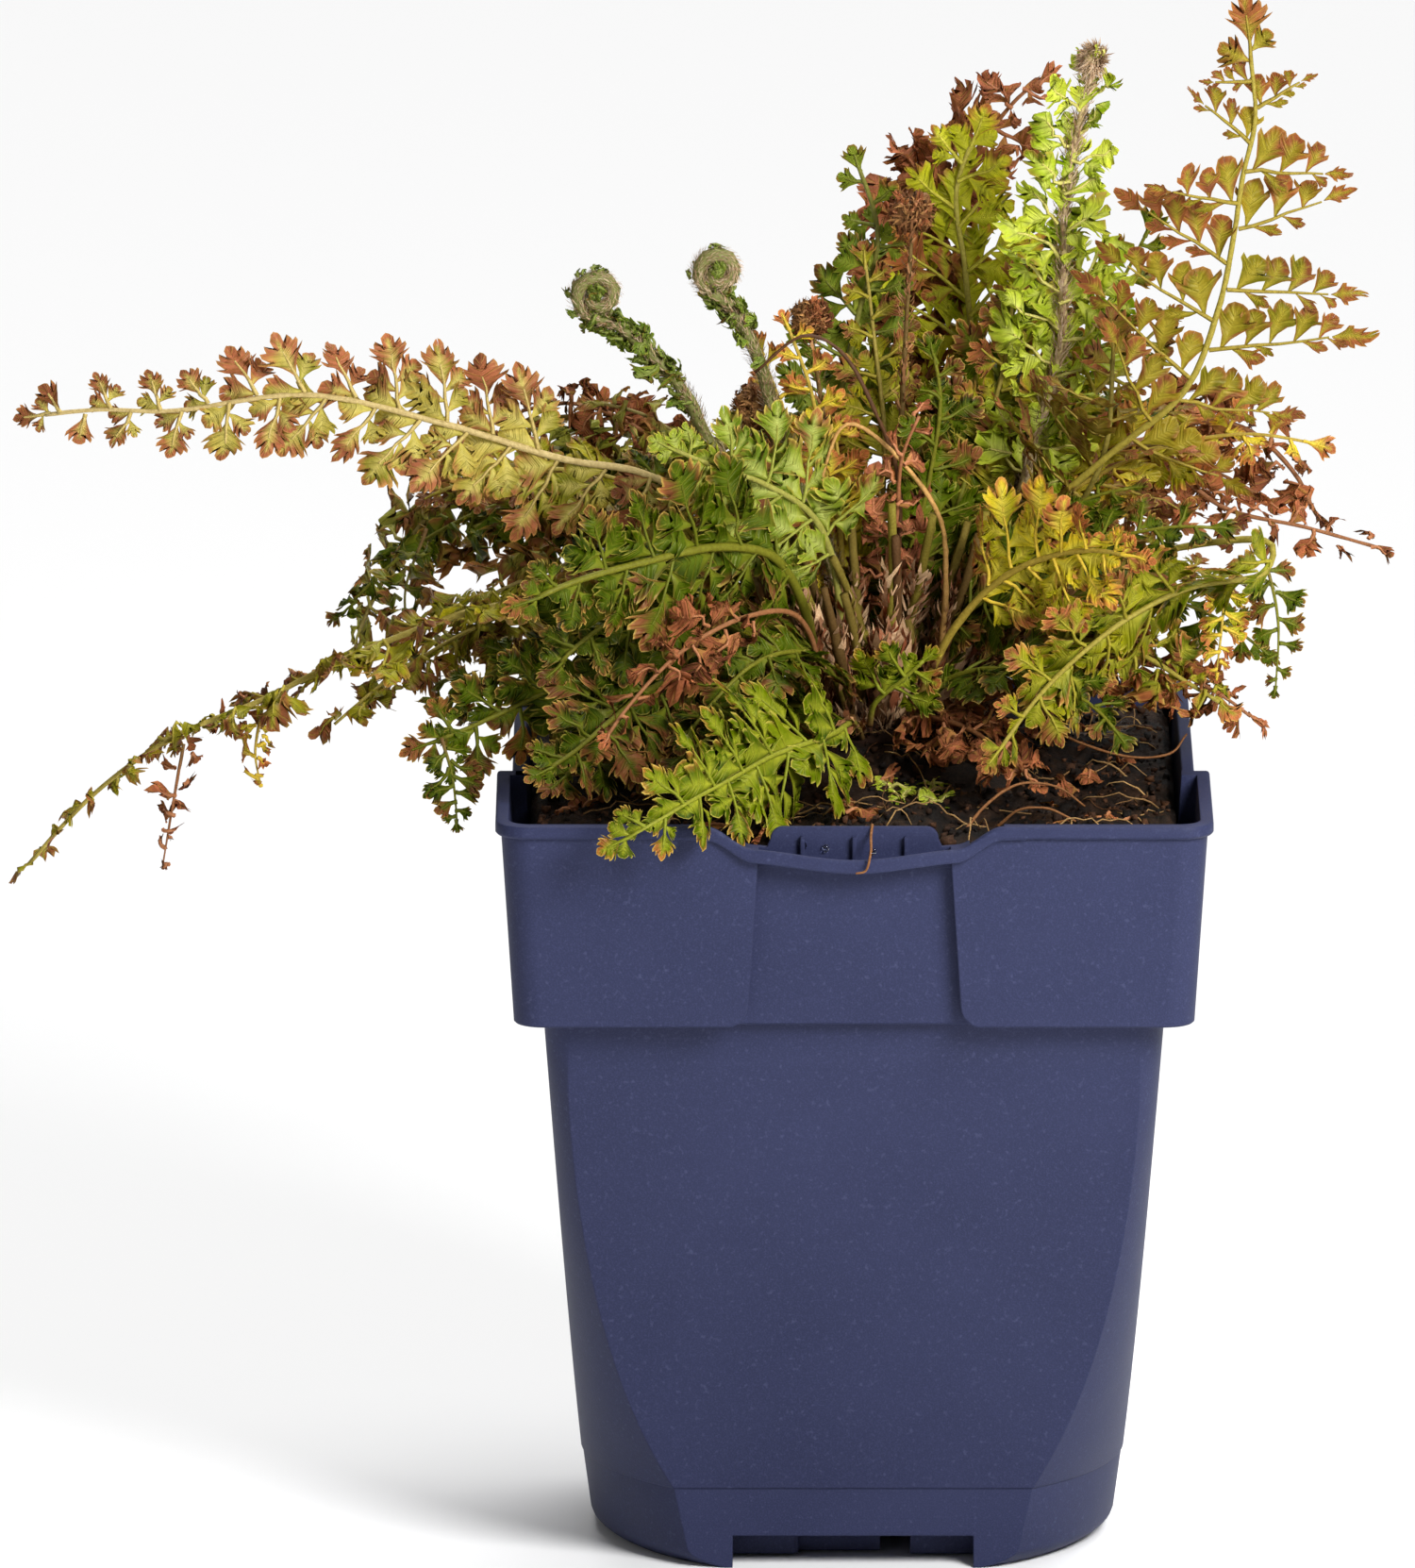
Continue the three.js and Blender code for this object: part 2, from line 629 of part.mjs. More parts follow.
const FRONDS = [
  { name: 'frond_golden_left', colour: GOLD, base: [-12, 17, 146], across: [0.1, 0.25, 1],
    route: [[-15, 11, 171], [-25, 5, 189], [-35, 2, 196], [-49, 0, 199], [-70, -3, 206], [-96, -5, 212],
      [-122, -5, 209], [-137, -4, 209], [-153, -2, 207]],
    bare: 0.36, pairs: 9, reach: 19, seed: 11 },
  { name: 'frond_long_low_left', colour: OLIVE, base: [-12, 10, 143], across: [0.3, 1, 0.1],
    route: [[-18, 4, 163], [-30, -4, 171], [-53, -12, 175], [-65, -15, 174], [-75, -17, 171],
      [-91, -20, 165],
      [-104, -22, 159], [-122, -24, 152], [-137, -25, 142], [-153, -26, 126]],
    bare: 0.34, pairs: 8, reach: 16, wilt: 0.25, seed: 12 },
  { name: 'frond_crumpled_left', colour: DARK, base: [-13, 23, 146], across: [0.2, 0.5, 1],
    route: [[-20, 27, 174], [-35, 33, 186], [-49, 36, 191], [-63, 36, 189], [-75, 34, 181],
      [-85, 31, 169],
      [-93, 28, 155]],
    bare: 0.36, pairs: 6, reach: 19, wilt: 0.5, seed: 13 },
  { name: 'frond_dry_top_left', colour: RUST, base: [-9, 28, 146], across: [0, 0.8, 0.6],
    route: [[-17, 34, 172], [-28, 40, 188], [-38, 44, 196], [-50, 46, 200], [-64, 46, 198]],
    bare: 0.5, pairs: 4, reach: 12, wilt: 0.7, seed: 14 },
  { name: 'frond_over_left_edge', colour: GREEN, base: [-9, 4, 143], across: [0.5, 0.2, 0.8],
    route: [[-21, -3, 162], [-35, -12, 168], [-46, -18, 165], [-59, -24, 160], [-70, -27, 155],
      [-82, -28, 150]],
    bare: 0.36, pairs: 5, reach: 21, seed: 15 },
  { name: 'frond_low_left', colour: GREEN, base: [-8, 1, 146], across: [-0.5, 0.3, 0.8],
    route: [[-17, -9, 159], [-30, -20, 163], [-39, -28, 162], [-46, -36, 158], [-53, -44, 153],
      [-59, -50, 150]],
    bare: 0.35, pairs: 5, reach: 19, seed: 16 },
  { name: 'frond_left_middle', colour: GREEN, base: [-8, 7, 146], across: [-0.3, 0.2, 0.9],
    route: [[-17, -5, 166], [-28, -14, 174], [-39, -22, 175], [-48, -28, 171], [-57, -33, 164]],
    bare: 0.36, pairs: 5, reach: 18, seed: 17 },
  { name: 'frond_front', colour: LIME, base: [2, 0, 146], across: [-0.45, 0.1, 0.9],
    route: [[0, -12, 153], [-4, -25, 154], [-15, -38, 153], [-23, -50, 151], [-30, -62, 149.5],
      [-37, -70, 146.5],
      [-46, -75, 142]],
    bare: 0.3, pairs: 6, reach: 15, seed: 18 },
  { name: 'frond_thick_left', colour: OLIVE, base: [-6, 13, 146], across: [0.1, 0.1, 1],
    route: [[-7, 0, 170], [-12, -9, 183], [-21, -18, 187], [-34, -30, 187], [-50, -42, 185],
      [-63, -50, 181]],
    bare: 0.42, pairs: 7, reach: 22, stipe: 2.2, seed: 19 },
  { name: 'frond_pale_left', colour: GREEN, base: [-2, 9, 146], across: [0.5, 0.2, 0.8],
    route: [[-4, 2, 175], [-9, -5, 189], [-18, -13, 197], [-27, -20, 202], [-37, -26, 208]],
    bare: 0.5, pairs: 5, reach: 17, seed: 20 },
  { name: 'frond_dead_small_left', colour: RUST, base: [-3, 3, 146], across: [-0.2, 0.4, 0.8],
    route: [[-9, -12, 172], [-18, -24, 175], [-30, -36, 171], [-40, -46, 163], [-46, -54, 157]],
    bare: 0.55, pairs: 3, reach: 9, wilt: 0.5, stipe: 1.4, seed: 21 },
  { name: 'crozier_left', colour: TAN, base: [-7, 20, 146], across: [0, -1, 0],
    route: [[-9, 16, 176], [-16, 15, 190], [-25, 14, 199], [-28, 13, 206], [-32, 12, 212],
      [-37, 11, 217],
      [-43, 10, 222], [-48, 10, 223.5]],
    bare: 0.56, pairs: 3, reach: 7, stipe: 2.9, thin: 0.8, depth: 0.62,
    curl: { radius: 4.3, turns: 1.2 }, seed: 22 },
  { name: 'crozier_middle', colour: TAN, base: [0, 15, 146], across: [0, -1, 0],
    route: [[-2, 10, 173], [-8, 8, 192], [-10, 7, 199], [-13, 7, 206], [-15, 7, 213], [-18, 7, 220],
      [-22, 7, 226], [-27, 7, 229.5]],
    bare: 0.62, pairs: 2, reach: 6, stipe: 3.1, thin: 0.8, depth: 0.62,
    curl: { radius: 3.9, turns: 1.2 }, seed: 23 },
  { name: 'frond_unfurling', colour: LIME, base: [13, 21, 146], across: [-1, 0.2, 0],
    route: [[20, 26, 166], [27, 26, 181], [32, 25, 202], [35, 25, 213], [36, 24, 229], [37, 24, 243],
      [40, 24, 255], [44, 24, 268]],
    bare: 0.45, pairs: 7, reach: 17, cup: 0.6, lean: 1.0, stipe: 2.8,
    curl: { radius: 2.2, turns: 0.7 }, seed: 24 },
  { name: 'frond_tall_right', colour: OLIVE, base: [12, 12, 146], across: [-1, -0.2, 0.1],
    route: [[23, 16, 174], [36, 13, 187], [48, 10, 198], [62, 6, 211], [68, 5, 226], [71, 3, 242],
      [72, 2, 251],
      [74, 2, 262], [73, 2, 271], [71, 2, 284]],
    bare: 0.42, pairs: 8, reach: 30, seed: 25 },
  { name: 'frond_back_middle', colour: OLIVE, base: [11, 27, 146], across: [-1, 0.1, 0],
    route: [[18, 36, 166], [24, 42, 182], [24, 46, 205], [22, 48, 225], [20, 48, 240], [25, 48, 255]],
    bare: 0.4, pairs: 6, reach: 19, seed: 26 },
  { name: 'frond_back_dry_top', colour: RUST, base: [5, 24, 146], across: [-0.8, 0.6, 0],
    route: [[8, 38, 170], [11, 47, 190], [10, 56, 212], [9, 60, 230], [13, 60, 248]],
    bare: 0.45, pairs: 5, reach: 15, wilt: 0.5, seed: 27 },
  { name: 'frond_dark_upright', colour: DARK, base: [-2, 26, 146], across: [-1, 0.1, 0.1],
    route: [[-4, 34, 172], [-6, 36, 193], [-3, 38, 206], [0, 38, 219], [4, 38, 233], [0, 35, 250]],
    bare: 0.4, pairs: 6, reach: 14, seed: 28 },
  { name: 'frond_dead_right', colour: RUST, base: [21, 26, 146], across: [-0.4, 0.3, 0.8],
    route: [[28, 34, 171], [41, 38, 185], [56, 38, 197], [70, 36, 198], [81, 34, 189], [86, 32, 179]],
    bare: 0.36, pairs: 6, reach: 15, wilt: 0.8, seed: 29 },
  { name: 'frond_dead_far_right', colour: RUST, base: [17, 15, 146], across: [0, 0.6, 0.8],
    route: [[27, 22, 174], [38, 22, 188], [48, 21, 194], [57, 20, 192], [67, 18, 186], [82, 16, 183],
      [99, 13, 179]],
    bare: 0.45, pairs: 6, reach: 10, wilt: 0.6, stipe: 1.5, seed: 30 },
  { name: 'frond_broken_right', colour: GREEN, base: [19, 8, 146], across: [-0.2, 0.6, 0.8],
    acrossTip: [0.6, 0.3, -0.6],
    route: [[32, 4, 167], [51, 0, 179], [68, -3, 184], [80, -6, 184.5], [79, -10, 180], [66, -13, 178],
      [55, -17, 174], [44, -24, 168], [34, -34, 161], [24, -46, 151]],
    bare: 0.5, pairs: 6, reach: 19, seed: 31 },
  { name: 'frond_bright_right', colour: OLIVE, base: [9, 1, 146], across: [-0.5, 0.3, 0.8],
    route: [[17, -5, 168], [26, -13, 180], [36, -22, 186], [45, -30, 188], [54, -36, 187]],
    bare: 0.5, pairs: 4, reach: 15, seed: 32 },
  { name: 'frond_dark_right', colour: DARK, base: [19, 20, 146], across: [-1, 0.1, 0.2],
    route: [[26, 17, 171], [35, 14, 183], [42, 12, 197], [45, 10, 211], [47, 10, 225]],
    bare: 0.45, pairs: 5, reach: 30, wilt: 0.05, seed: 33 },
  { name: 'frond_low_right', colour: RUST, base: [14, 4, 146], across: [0.1, 0.6, 0.7],
    route: [[27, 0, 160], [39, -6, 166], [51, -10, 165], [61, -14, 160], [70, -16, 155]],
    bare: 0.4, pairs: 5, reach: 14, wilt: 0.5, seed: 34 },
];

// The fronds behind, which arch away from the crown all round.
const BACK = { count: 4, from: 50, to: 130, start: 17, span: 84, peak: 198, seed: 60 };

function backFronds() {
  const random = randomFrom(BACK.seed);
  return Array.from({ length: BACK.count }, (_, i) => {
    const azimuth = THREE.MathUtils.degToRad(mix(BACK.from, BACK.to, i / (BACK.count - 1)));
    const away = V(Math.cos(azimuth), Math.sin(azimuth), 0);
    const span = BACK.span * (0.85 + 0.3 * random());
    const peak = BACK.peak - 14 * random();
    const spot = (reach, z) => [CROWN.x + away.x * reach, CROWN.y + away.y * reach, z];
    return {
      name: 'frond_behind_' + (i + 1),
      colour: i % 2 ? OLIVE : GREEN,
      base: spot(BACK.start, CROWN.z),
      route: [
        spot(BACK.start + span * 0.12, mix(CROWN.z, peak, 0.5)),
        spot(BACK.start + span * 0.36, mix(CROWN.z, peak, 0.9)),
        spot(BACK.start + span * 0.62, peak),
        spot(BACK.start + span * 0.84, peak - 5),
        spot(BACK.start + span, peak - 14),
      ],
      across: [-away.y, away.x, 0],
      pairs: 5,
      reach: 16,
      seed: BACK.seed + i,
    };
  });
}

// Tight young curls on stalks: a ball of scales.
const BALL = { across: [0, -1, 0], bare: 1, pairs: 0, reach: 0, stipe: 1.7, colour: TAN };
const YOUNG = [
  { ...BALL, name: 'young_curl_left', base: [-4, 17, 146],
    route: [[-10, 15, 185], [-18, 14, 206]], ball: 3.8 },
  { ...BALL, name: 'young_curl_middle', base: [3, 20, 146],
    route: [[-2, 18, 190], [-8, 16, 222]], ball: 3.1 },
  { ...BALL, name: 'young_curl_right', base: [8, 20, 146],
    route: [[10, 27, 190], [11, 30, 239]], ball: 3.8 },
];

// Dead stalks that have lost their leaflets.
const DEAD = { across: [0, -1, 0], bare: 1, pairs: 0, reach: 0, stipe: 1.4 };
const DEAD_STALKS = [
  { ...DEAD, name: 'dead_stalk_dark', colour: '#4a3226', base: [6, 10, 146],
    route: [[9, 5, 195], [6, 3, 206], [-1, 2, 219], [-8, 1, 222], [-18, 1, 215]] },
  { ...DEAD, name: 'dead_stalk_straw', colour: '#a98a5c', base: [14, 9, 146],
    route: [[17, 3, 175], [15, 0, 190], [-1, -2, 206], [-7, -3, 192]] },
];

// ---------------------------------------------------------------- the rootstock
// Heights over CROWN, with the share of its radius there.
const CROWN_PROFILE = [[-6, 0.6], [-3, 0.8], [1, 0.9], [4.5, 0.8], [7, 0.42]];
const CROWN_SIDES = 9;
const STUBS = 7;

// The woody crown, with the scaly stubs of old stalks on it.
function makeCrown(grow) {
  const rings = CROWN_PROFILE.map(([rise, share]) => (
    Array.from({ length: CROWN_SIDES }, (_, i) => {
      const a = (2 * Math.PI * i) / CROWN_SIDES;
      const r = CROWN_RADIUS * share * (1 + 0.07 * Math.sin(3 * a + rise)) + grow;
      const z = CROWN.z + rise + Math.sign(rise) * grow;
      return V(CROWN.x + r * Math.cos(a), CROWN.y + r * Math.sin(a), z);
    })
  ));
  const random = randomFrom(7);
  const stubs = Array.from({ length: STUBS }, (_, i) => {
    const a = (2 * Math.PI * (i + 0.4)) / STUBS;
    const height = mix(15, 23, random());
    const lean = mix(0.2, 0.38, random());
    const stub = new THREE.CylinderGeometry(2.1 + grow, 3.3 + grow, height, 5);
    const r = CROWN_RADIUS * mix(0.45, 0.72, random());
    stub.translate(0, height / 2, 0);
    stub.rotateX(Math.PI / 2);
    stub.rotateY(lean);
    stub.rotateZ(a);
    stub.translate(CROWN.x + r * Math.cos(a), CROWN.y + r * Math.sin(a), CROWN.z);
    return solidFrom(stub);
  });
  return joined([skin(rings), ...stubs]);
}

// ---------------------------------------------------------------- putting it together
const boxesMeet = (a, b) => [0, 1, 2].every((i) => a.min[i] < b.max[i] && b.min[i] < a.max[i]);

class Space {
  constructor() {
    this.taken = [];
  }

  fill(owner, solid) {
    this.taken.push({ owner, solid, box: solid.boundingBox() });
  }

  // Whether a solid is clear of all that is there, apart from what its own stalk is.
  isFree(solid, owner) {
    const bounds = solid.boundingBox();
    return !this.taken.some((other) => (
      other.owner !== owner
      && boxesMeet(other.box, bounds)
      && solid.intersect(other.solid).volume() > 1e-4
    ));
  }
}

// Small shifts of a stalk's middle, tried in turn until it is clear of the others.
const SWAYS = [V(0, 0, 0)];
[2, 4, 6].forEach((d) => [0, 1, 2, 3, 4, 5, 6, 7].forEach((k) => {
  const a = (k * Math.PI) / 4;
  SWAYS.push(V(d * Math.cos(a), d * Math.sin(a), 0));
}));

// Small turns and shortenings of a leaflet, tried in turn until it is clear.
const BENDS = [1, 0.8, 0.6, 0.45].flatMap((share) => (
  [0, 0.3, -0.3, 0.6, -0.6, 0.95, -0.95].map((turn) => ({ share, turn }))
));

function placeStalks(fronds, space) {
  return new Map(fronds.map((frond) => {
    const routes = SWAYS.map((sway) => new Route(frond, sway));
    const clear = routes.find((route) => (
      space.isFree(stalkSolid(frond, route, 2 * CLEARANCE), frond.name)
    ));
    if (!clear) throw new Error(frond.name + ' has no clear way for its stalk');
    space.fill(frond.name, stalkSolid(frond, clear));
    return [frond.name, clear];
  }));
}

function placeLeaflets(frond, route, space) {
  const kept = [];
  leafletPlan(frond, route).forEach((leaf) => {
    const clear = BENDS
      .map(({ share, turn }) => ({ ...leaf, reach: leaf.reach * share, tilt: leaf.tilt + turn }))
      .find((one) => space.isFree(trialLeaflet(frond, route, one), frond.name));
    if (!clear) return;
    kept.push(clear);
    space.fill(frond.name + '_leaflet', trialLeaflet(frond, route, clear));
  });
  return kept;
}

function finish(name, solid, colour, roughness = 0.65) {
  const material = new THREE.MeshStandardMaterial({ color: colour, roughness, metalness: 0 });
  const mesh = new THREE.Mesh(geometryOf(solid), material);
  mesh.name = name;
  return mesh;
}

function ballAt(route, radius) {
  const end = route.at(route.length).point;
  return solidFrom(new THREE.IcosahedronGeometry(radius, 1).translate(end.x, end.y, end.z));
}

function makePlant() {
  const plant = new THREE.Group();
  const fronds = [...FRONDS, ...backFronds()].map((frond) => ({ ...COMMON, ...frond }));
  const stalks = [...YOUNG, ...DEAD_STALKS].map((stalk) => ({ ...COMMON, ...stalk }));
  const everything = [...fronds, ...stalks];
  const space = new Space();
  const pot = makePot();
  space.fill('pot', pot);
  const routes = placeStalks(everything, space);
  let peat = makePeat().subtract(makeCrown(CLEARANCE));
  let crown = makeCrown(0);
  everything.forEach((frond) => {
    const socket = stalkSolid(frond, routes.get(frond.name), 2 * CLEARANCE, 60);
    peat = peat.subtract(socket);
    crown = crown.subtract(socket);
  });
  peat = largestBody(peat);
  crown = largestBody(crown);
  space.fill('peat', peat);
  space.fill('rootstock', crown);
  YOUNG.forEach(({ name, ball }) => space.fill(name, ballAt(routes.get(name), ball + CLEARANCE)));
  plant.add(finish('pot', pot, '#41466b', 0.5));
  plant.add(finish('peat', peat, '#231c17', 0.95));
  plant.add(finish('rootstock', crown, '#6b5136', 0.9));
  fronds.forEach((frond) => {
    const route = routes.get(frond.name);
    const leaflets = placeLeaflets(frond, route, space);
    plant.add(finish(frond.name, frondSolid(frond, route, leaflets), frond.colour));
  });
  stalks.forEach((stalk) => {
    const route = routes.get(stalk.name);
    const bare = stalkSolid(stalk, route);
    const solid = stalk.ball ? bare.add(ballAt(route, stalk.ball)) : bare;
    plant.add(finish(stalk.name, solid, stalk.colour, 0.8));
  });
  return plant;
}

export default makePlant();
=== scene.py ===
"""A lace-leaved fern in a square nursery pot. Lengths are millimetres until a mesh is made."""

import math
import random

import bpy
import numpy as np
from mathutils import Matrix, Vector, kdtree

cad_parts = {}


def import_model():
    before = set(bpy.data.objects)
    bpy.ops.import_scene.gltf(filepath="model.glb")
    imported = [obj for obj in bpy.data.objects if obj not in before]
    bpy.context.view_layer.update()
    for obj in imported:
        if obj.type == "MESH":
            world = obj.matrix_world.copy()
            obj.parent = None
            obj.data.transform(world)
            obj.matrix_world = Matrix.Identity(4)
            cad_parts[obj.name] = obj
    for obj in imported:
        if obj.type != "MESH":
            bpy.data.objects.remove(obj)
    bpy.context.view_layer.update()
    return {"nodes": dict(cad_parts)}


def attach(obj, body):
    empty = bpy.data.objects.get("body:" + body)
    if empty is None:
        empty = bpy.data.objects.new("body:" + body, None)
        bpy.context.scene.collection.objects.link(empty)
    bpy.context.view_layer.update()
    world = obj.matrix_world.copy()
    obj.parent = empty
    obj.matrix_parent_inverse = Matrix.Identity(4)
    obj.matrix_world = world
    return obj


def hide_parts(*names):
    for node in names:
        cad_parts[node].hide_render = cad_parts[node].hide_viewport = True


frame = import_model()
MM = 0.001


# ---------------------------------------------------------------- small tools
def vec(*p):
    return np.array(p, float)


def unit(v):
    return v / max(np.linalg.norm(v), 1e-9)


def mix(a, b, t):
    return a + (b - a) * t


def ease(t):
    t = np.clip(t, 0.0, 1.0)
    return t * t * (3 - 2 * t)


def paint(red, green, blue):
    """A display colour from 0 to 255, as the linear light that Blender works in."""
    c = vec(red, green, blue) / 255
    return np.where(c <= 0.04045, c / 12.92, ((c + 0.055) / 1.055) ** 2.4)


def seeded(seed):
    """The same run of random numbers as the solids are placed by."""
    state = [seed & 0xFFFFFFFF]

    def draw():
        state[0] = (state[0] + 0x6D2B79F5) & 0xFFFFFFFF
        t = state[0]
        t = ((t ^ (t >> 15)) * (1 | t)) & 0xFFFFFFFF
        t = ((t + (((t ^ (t >> 7)) * (61 | t)) & 0xFFFFFFFF)) ^ t) & 0xFFFFFFFF
        return ((t ^ (t >> 14)) & 0xFFFFFFFF) / 4294967296

    return draw


def cloud(points, scale, seed=0.0):
    """Smooth noise from -1 to 1 at each point, in lumps about 1 / scale millimetres across."""
    spots = np.asarray(points, float) * scale + seed
    cell = np.floor(spots)
    part = ease(spots - cell)
    cell = cell.astype(np.int64)
    total = 0.0
    for corner in np.ndindex(2, 2, 2):
        key = (cell + corner) @ np.array([73856093, 19349663, 83492791])
        key = (key ^ (key >> 13)) * 1274126177
        value = ((key ^ (key >> 16)) & 0xFFFF) / 32767.5 - 1
        total = total + value * np.prod(np.where(corner, part, 1 - part), axis=1)
    return total


WHITE = vec(1, 1, 1)
LEAF, STEM, PAPERY, DEAD_LEAF = range(4)  # where these materials are among a frond's four


class Surface:
    """A mesh in the making, with a tint and a vein place at each point."""

    def __init__(self):
        self.leaf = LEAF
        self.points, self.faces, self.tints, self.veins, self.slots = [], [], [], [], []
        self.count = 0

    def add(self, points, faces, tint, vein=(0.0, 0.0, 0.0), slot=0):
        """Adds a shape. tint and vein are one value, or one for each point."""
        n = len(points)
        self.points.append(points)
        self.tints.append(np.broadcast_to(tint, (n, 3)))
        self.veins.append(np.broadcast_to(vein, (n, 3)))
        self.faces += [tuple(i + self.count for i in face) for face in faces]
        self.slots += [slot] * len(faces)
        self.count += n

    def piece(self, name, materials, record_slot, replaces=None):
        """Makes a piece of the frame's root, which replaces a CAD node if one is named."""
        piece = new_object(name, np.concatenate(self.points), self.faces)
        mesh = piece.data
        tints = np.concatenate(self.tints)
        layers = (
            ("tint", "FLOAT_COLOR", "color", np.hstack([tints, np.ones((len(tints), 1))])),
            ("vein", "FLOAT_VECTOR", "vector", np.concatenate(self.veins)),
        )
        for label, kind, field, data in layers:
            mesh.attributes.new(label, kind, "POINT").data.foreach_set(field, data.ravel())
        for material in materials:
            mesh.materials.append(material)
        mesh.polygons.foreach_set("material_index", self.slots)
        mesh.polygons.foreach_set("use_smooth", [True] * len(mesh.polygons))
        mesh.update()
        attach(piece, "root")
        if replaces:
            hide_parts(replaces)
        return piece


def new_object(name, points, faces):
    """An object in the scene, from points in millimetres."""
    mesh = bpy.data.meshes.new(name)
    mesh.from_pydata((np.asarray(points) * MM).tolist(), [], faces)
    return linked(bpy.data.objects.new(name, mesh))


def linked(made):
    """Puts an object into the scene and gives it back."""
    bpy.context.scene.collection.objects.link(made)
    return made


# ---------------------------------------------------------------- materials
NAVY = paint(37, 41, 68), paint(43, 47, 75)
NAVY_GRAIN, NAVY_FLECK = paint(54, 59, 90), paint(70, 75, 104)
VEIN_TINT, MARGIN_TINT, THROUGH_TINT = paint(186, 176, 60), paint(206, 186, 84), paint(214, 214, 40)
MOTTLE_TINT = vec(0.5, 0.54, 0.3)
GLOSS_TINT = vec(1.0, 0.92, 0.45)
PACKED_PEAT = paint(24, 19, 16), paint(62, 46, 34)
FLOOR_TINT = vec(0.92, 0.92, 0.92)
BEVEL = 0.00045
WATER_IOR = 1.33


def material(name):
    """An empty node material."""
    made = bpy.data.materials.new(name)
    made.use_nodes = True
    made.node_tree.nodes.clear()
    return made


def node(made, kind, sets=None, **inputs):
    """A new node. sets are its properties, and inputs its sockets: a value, or a socket to link."""
    n = made.node_tree.nodes.new("ShaderNode" + kind)
    for key, value in (sets or {}).items():
        setattr(n, key, value)
    for key, value in inputs.items():
        name = key.replace("_", " ")
        socket = n.inputs[int(key[1:])] if key[0] == "i" and key[1:].isdigit() else n.inputs[name]
        if isinstance(value, bpy.types.NodeSocket):
            made.node_tree.links.new(value, socket)
        elif isinstance(value, np.ndarray):
            socket.default_value = (*value, 1.0) if len(socket.default_value) == 4 else tuple(value)
        else:
            socket.default_value = value
    return n


def close(made, shader):
    """Wires the shader to the output, which ends a material."""
    node(made, "OutputMaterial", Surface=shader.outputs[0])
    return made


def coat(made, colour, roughness, **more):
    return node(made, "BsdfPrincipled", Base_Color=colour, Roughness=roughness, **more)


def attribute(made, name, kind):
    """What the mesh stores at each point under that name."""
    return node(made, "Attribute", {"attribute_name": name}).outputs[kind]


def speckle(made, scale, detail=3.0, roughness=0.55):
    """Noise that is fixed to the object. scale is in bumps per metre."""
    coords = node(made, "TexCoord").outputs["Object"]
    noise = node(made, "TexNoise", Vector=coords, Scale=scale, Detail=detail, Roughness=roughness)
    return noise.outputs["Fac"]


def ramp(made, factor, low, high, start=0.35, end=0.65):
    """Maps factor from start..end to low..high."""
    return node(made, "MapRange", i0=factor, i1=start, i2=end, i3=low, i4=high).outputs[0]


def blend(made, factor, a, b, how="MIX"):
    return node(made, "Mix", {"data_type": "RGBA", "blend_type": how}, i0=factor, i6=a, i7=b).outputs[2]


def sums(made, how, a, b=0.0):
    return node(made, "Math", {"operation": how}, i0=a, i1=b).outputs[0]


def bump(made, height, distance, strength=1.0, normal=None):
    before = {"Normal": normal} if normal else {}
    n = node(made, "Bump", Height=height, Distance=distance, Strength=strength, **before)
    return n.outputs["Normal"]


def plastic():
    """Injection-moulded plastic: fine matte grain, faint clouds and pale flecks."""
    made = material("navy_plastic")
    grain = speckle(made, 3200, 2.0)
    clouds = speckle(made, 24, 4.0, 0.6)
    fleck = speckle(made, 1100, 1.0)
    colour = blend(made, ramp(made, clouds, 0.0, 1.0, 0.3, 0.7), *NAVY)
    colour = blend(made, ramp(made, grain, 0.0, 0.55, 0.45, 0.75), colour, NAVY_GRAIN)
    colour = blend(made, ramp(made, fleck, 0.0, 0.4, 0.62, 0.8), colour, NAVY_FLECK)
    edge = node(made, "Bevel", {"samples": 4}, Radius=BEVEL).outputs["Normal"]
    normal = bump(made, grain, 0.00007, 0.4, edge)
    shine = ramp(made, clouds, 0.5, 0.6)
    return close(made, coat(made, colour, shine, Normal=normal, Specular_IOR_Level=0.14))


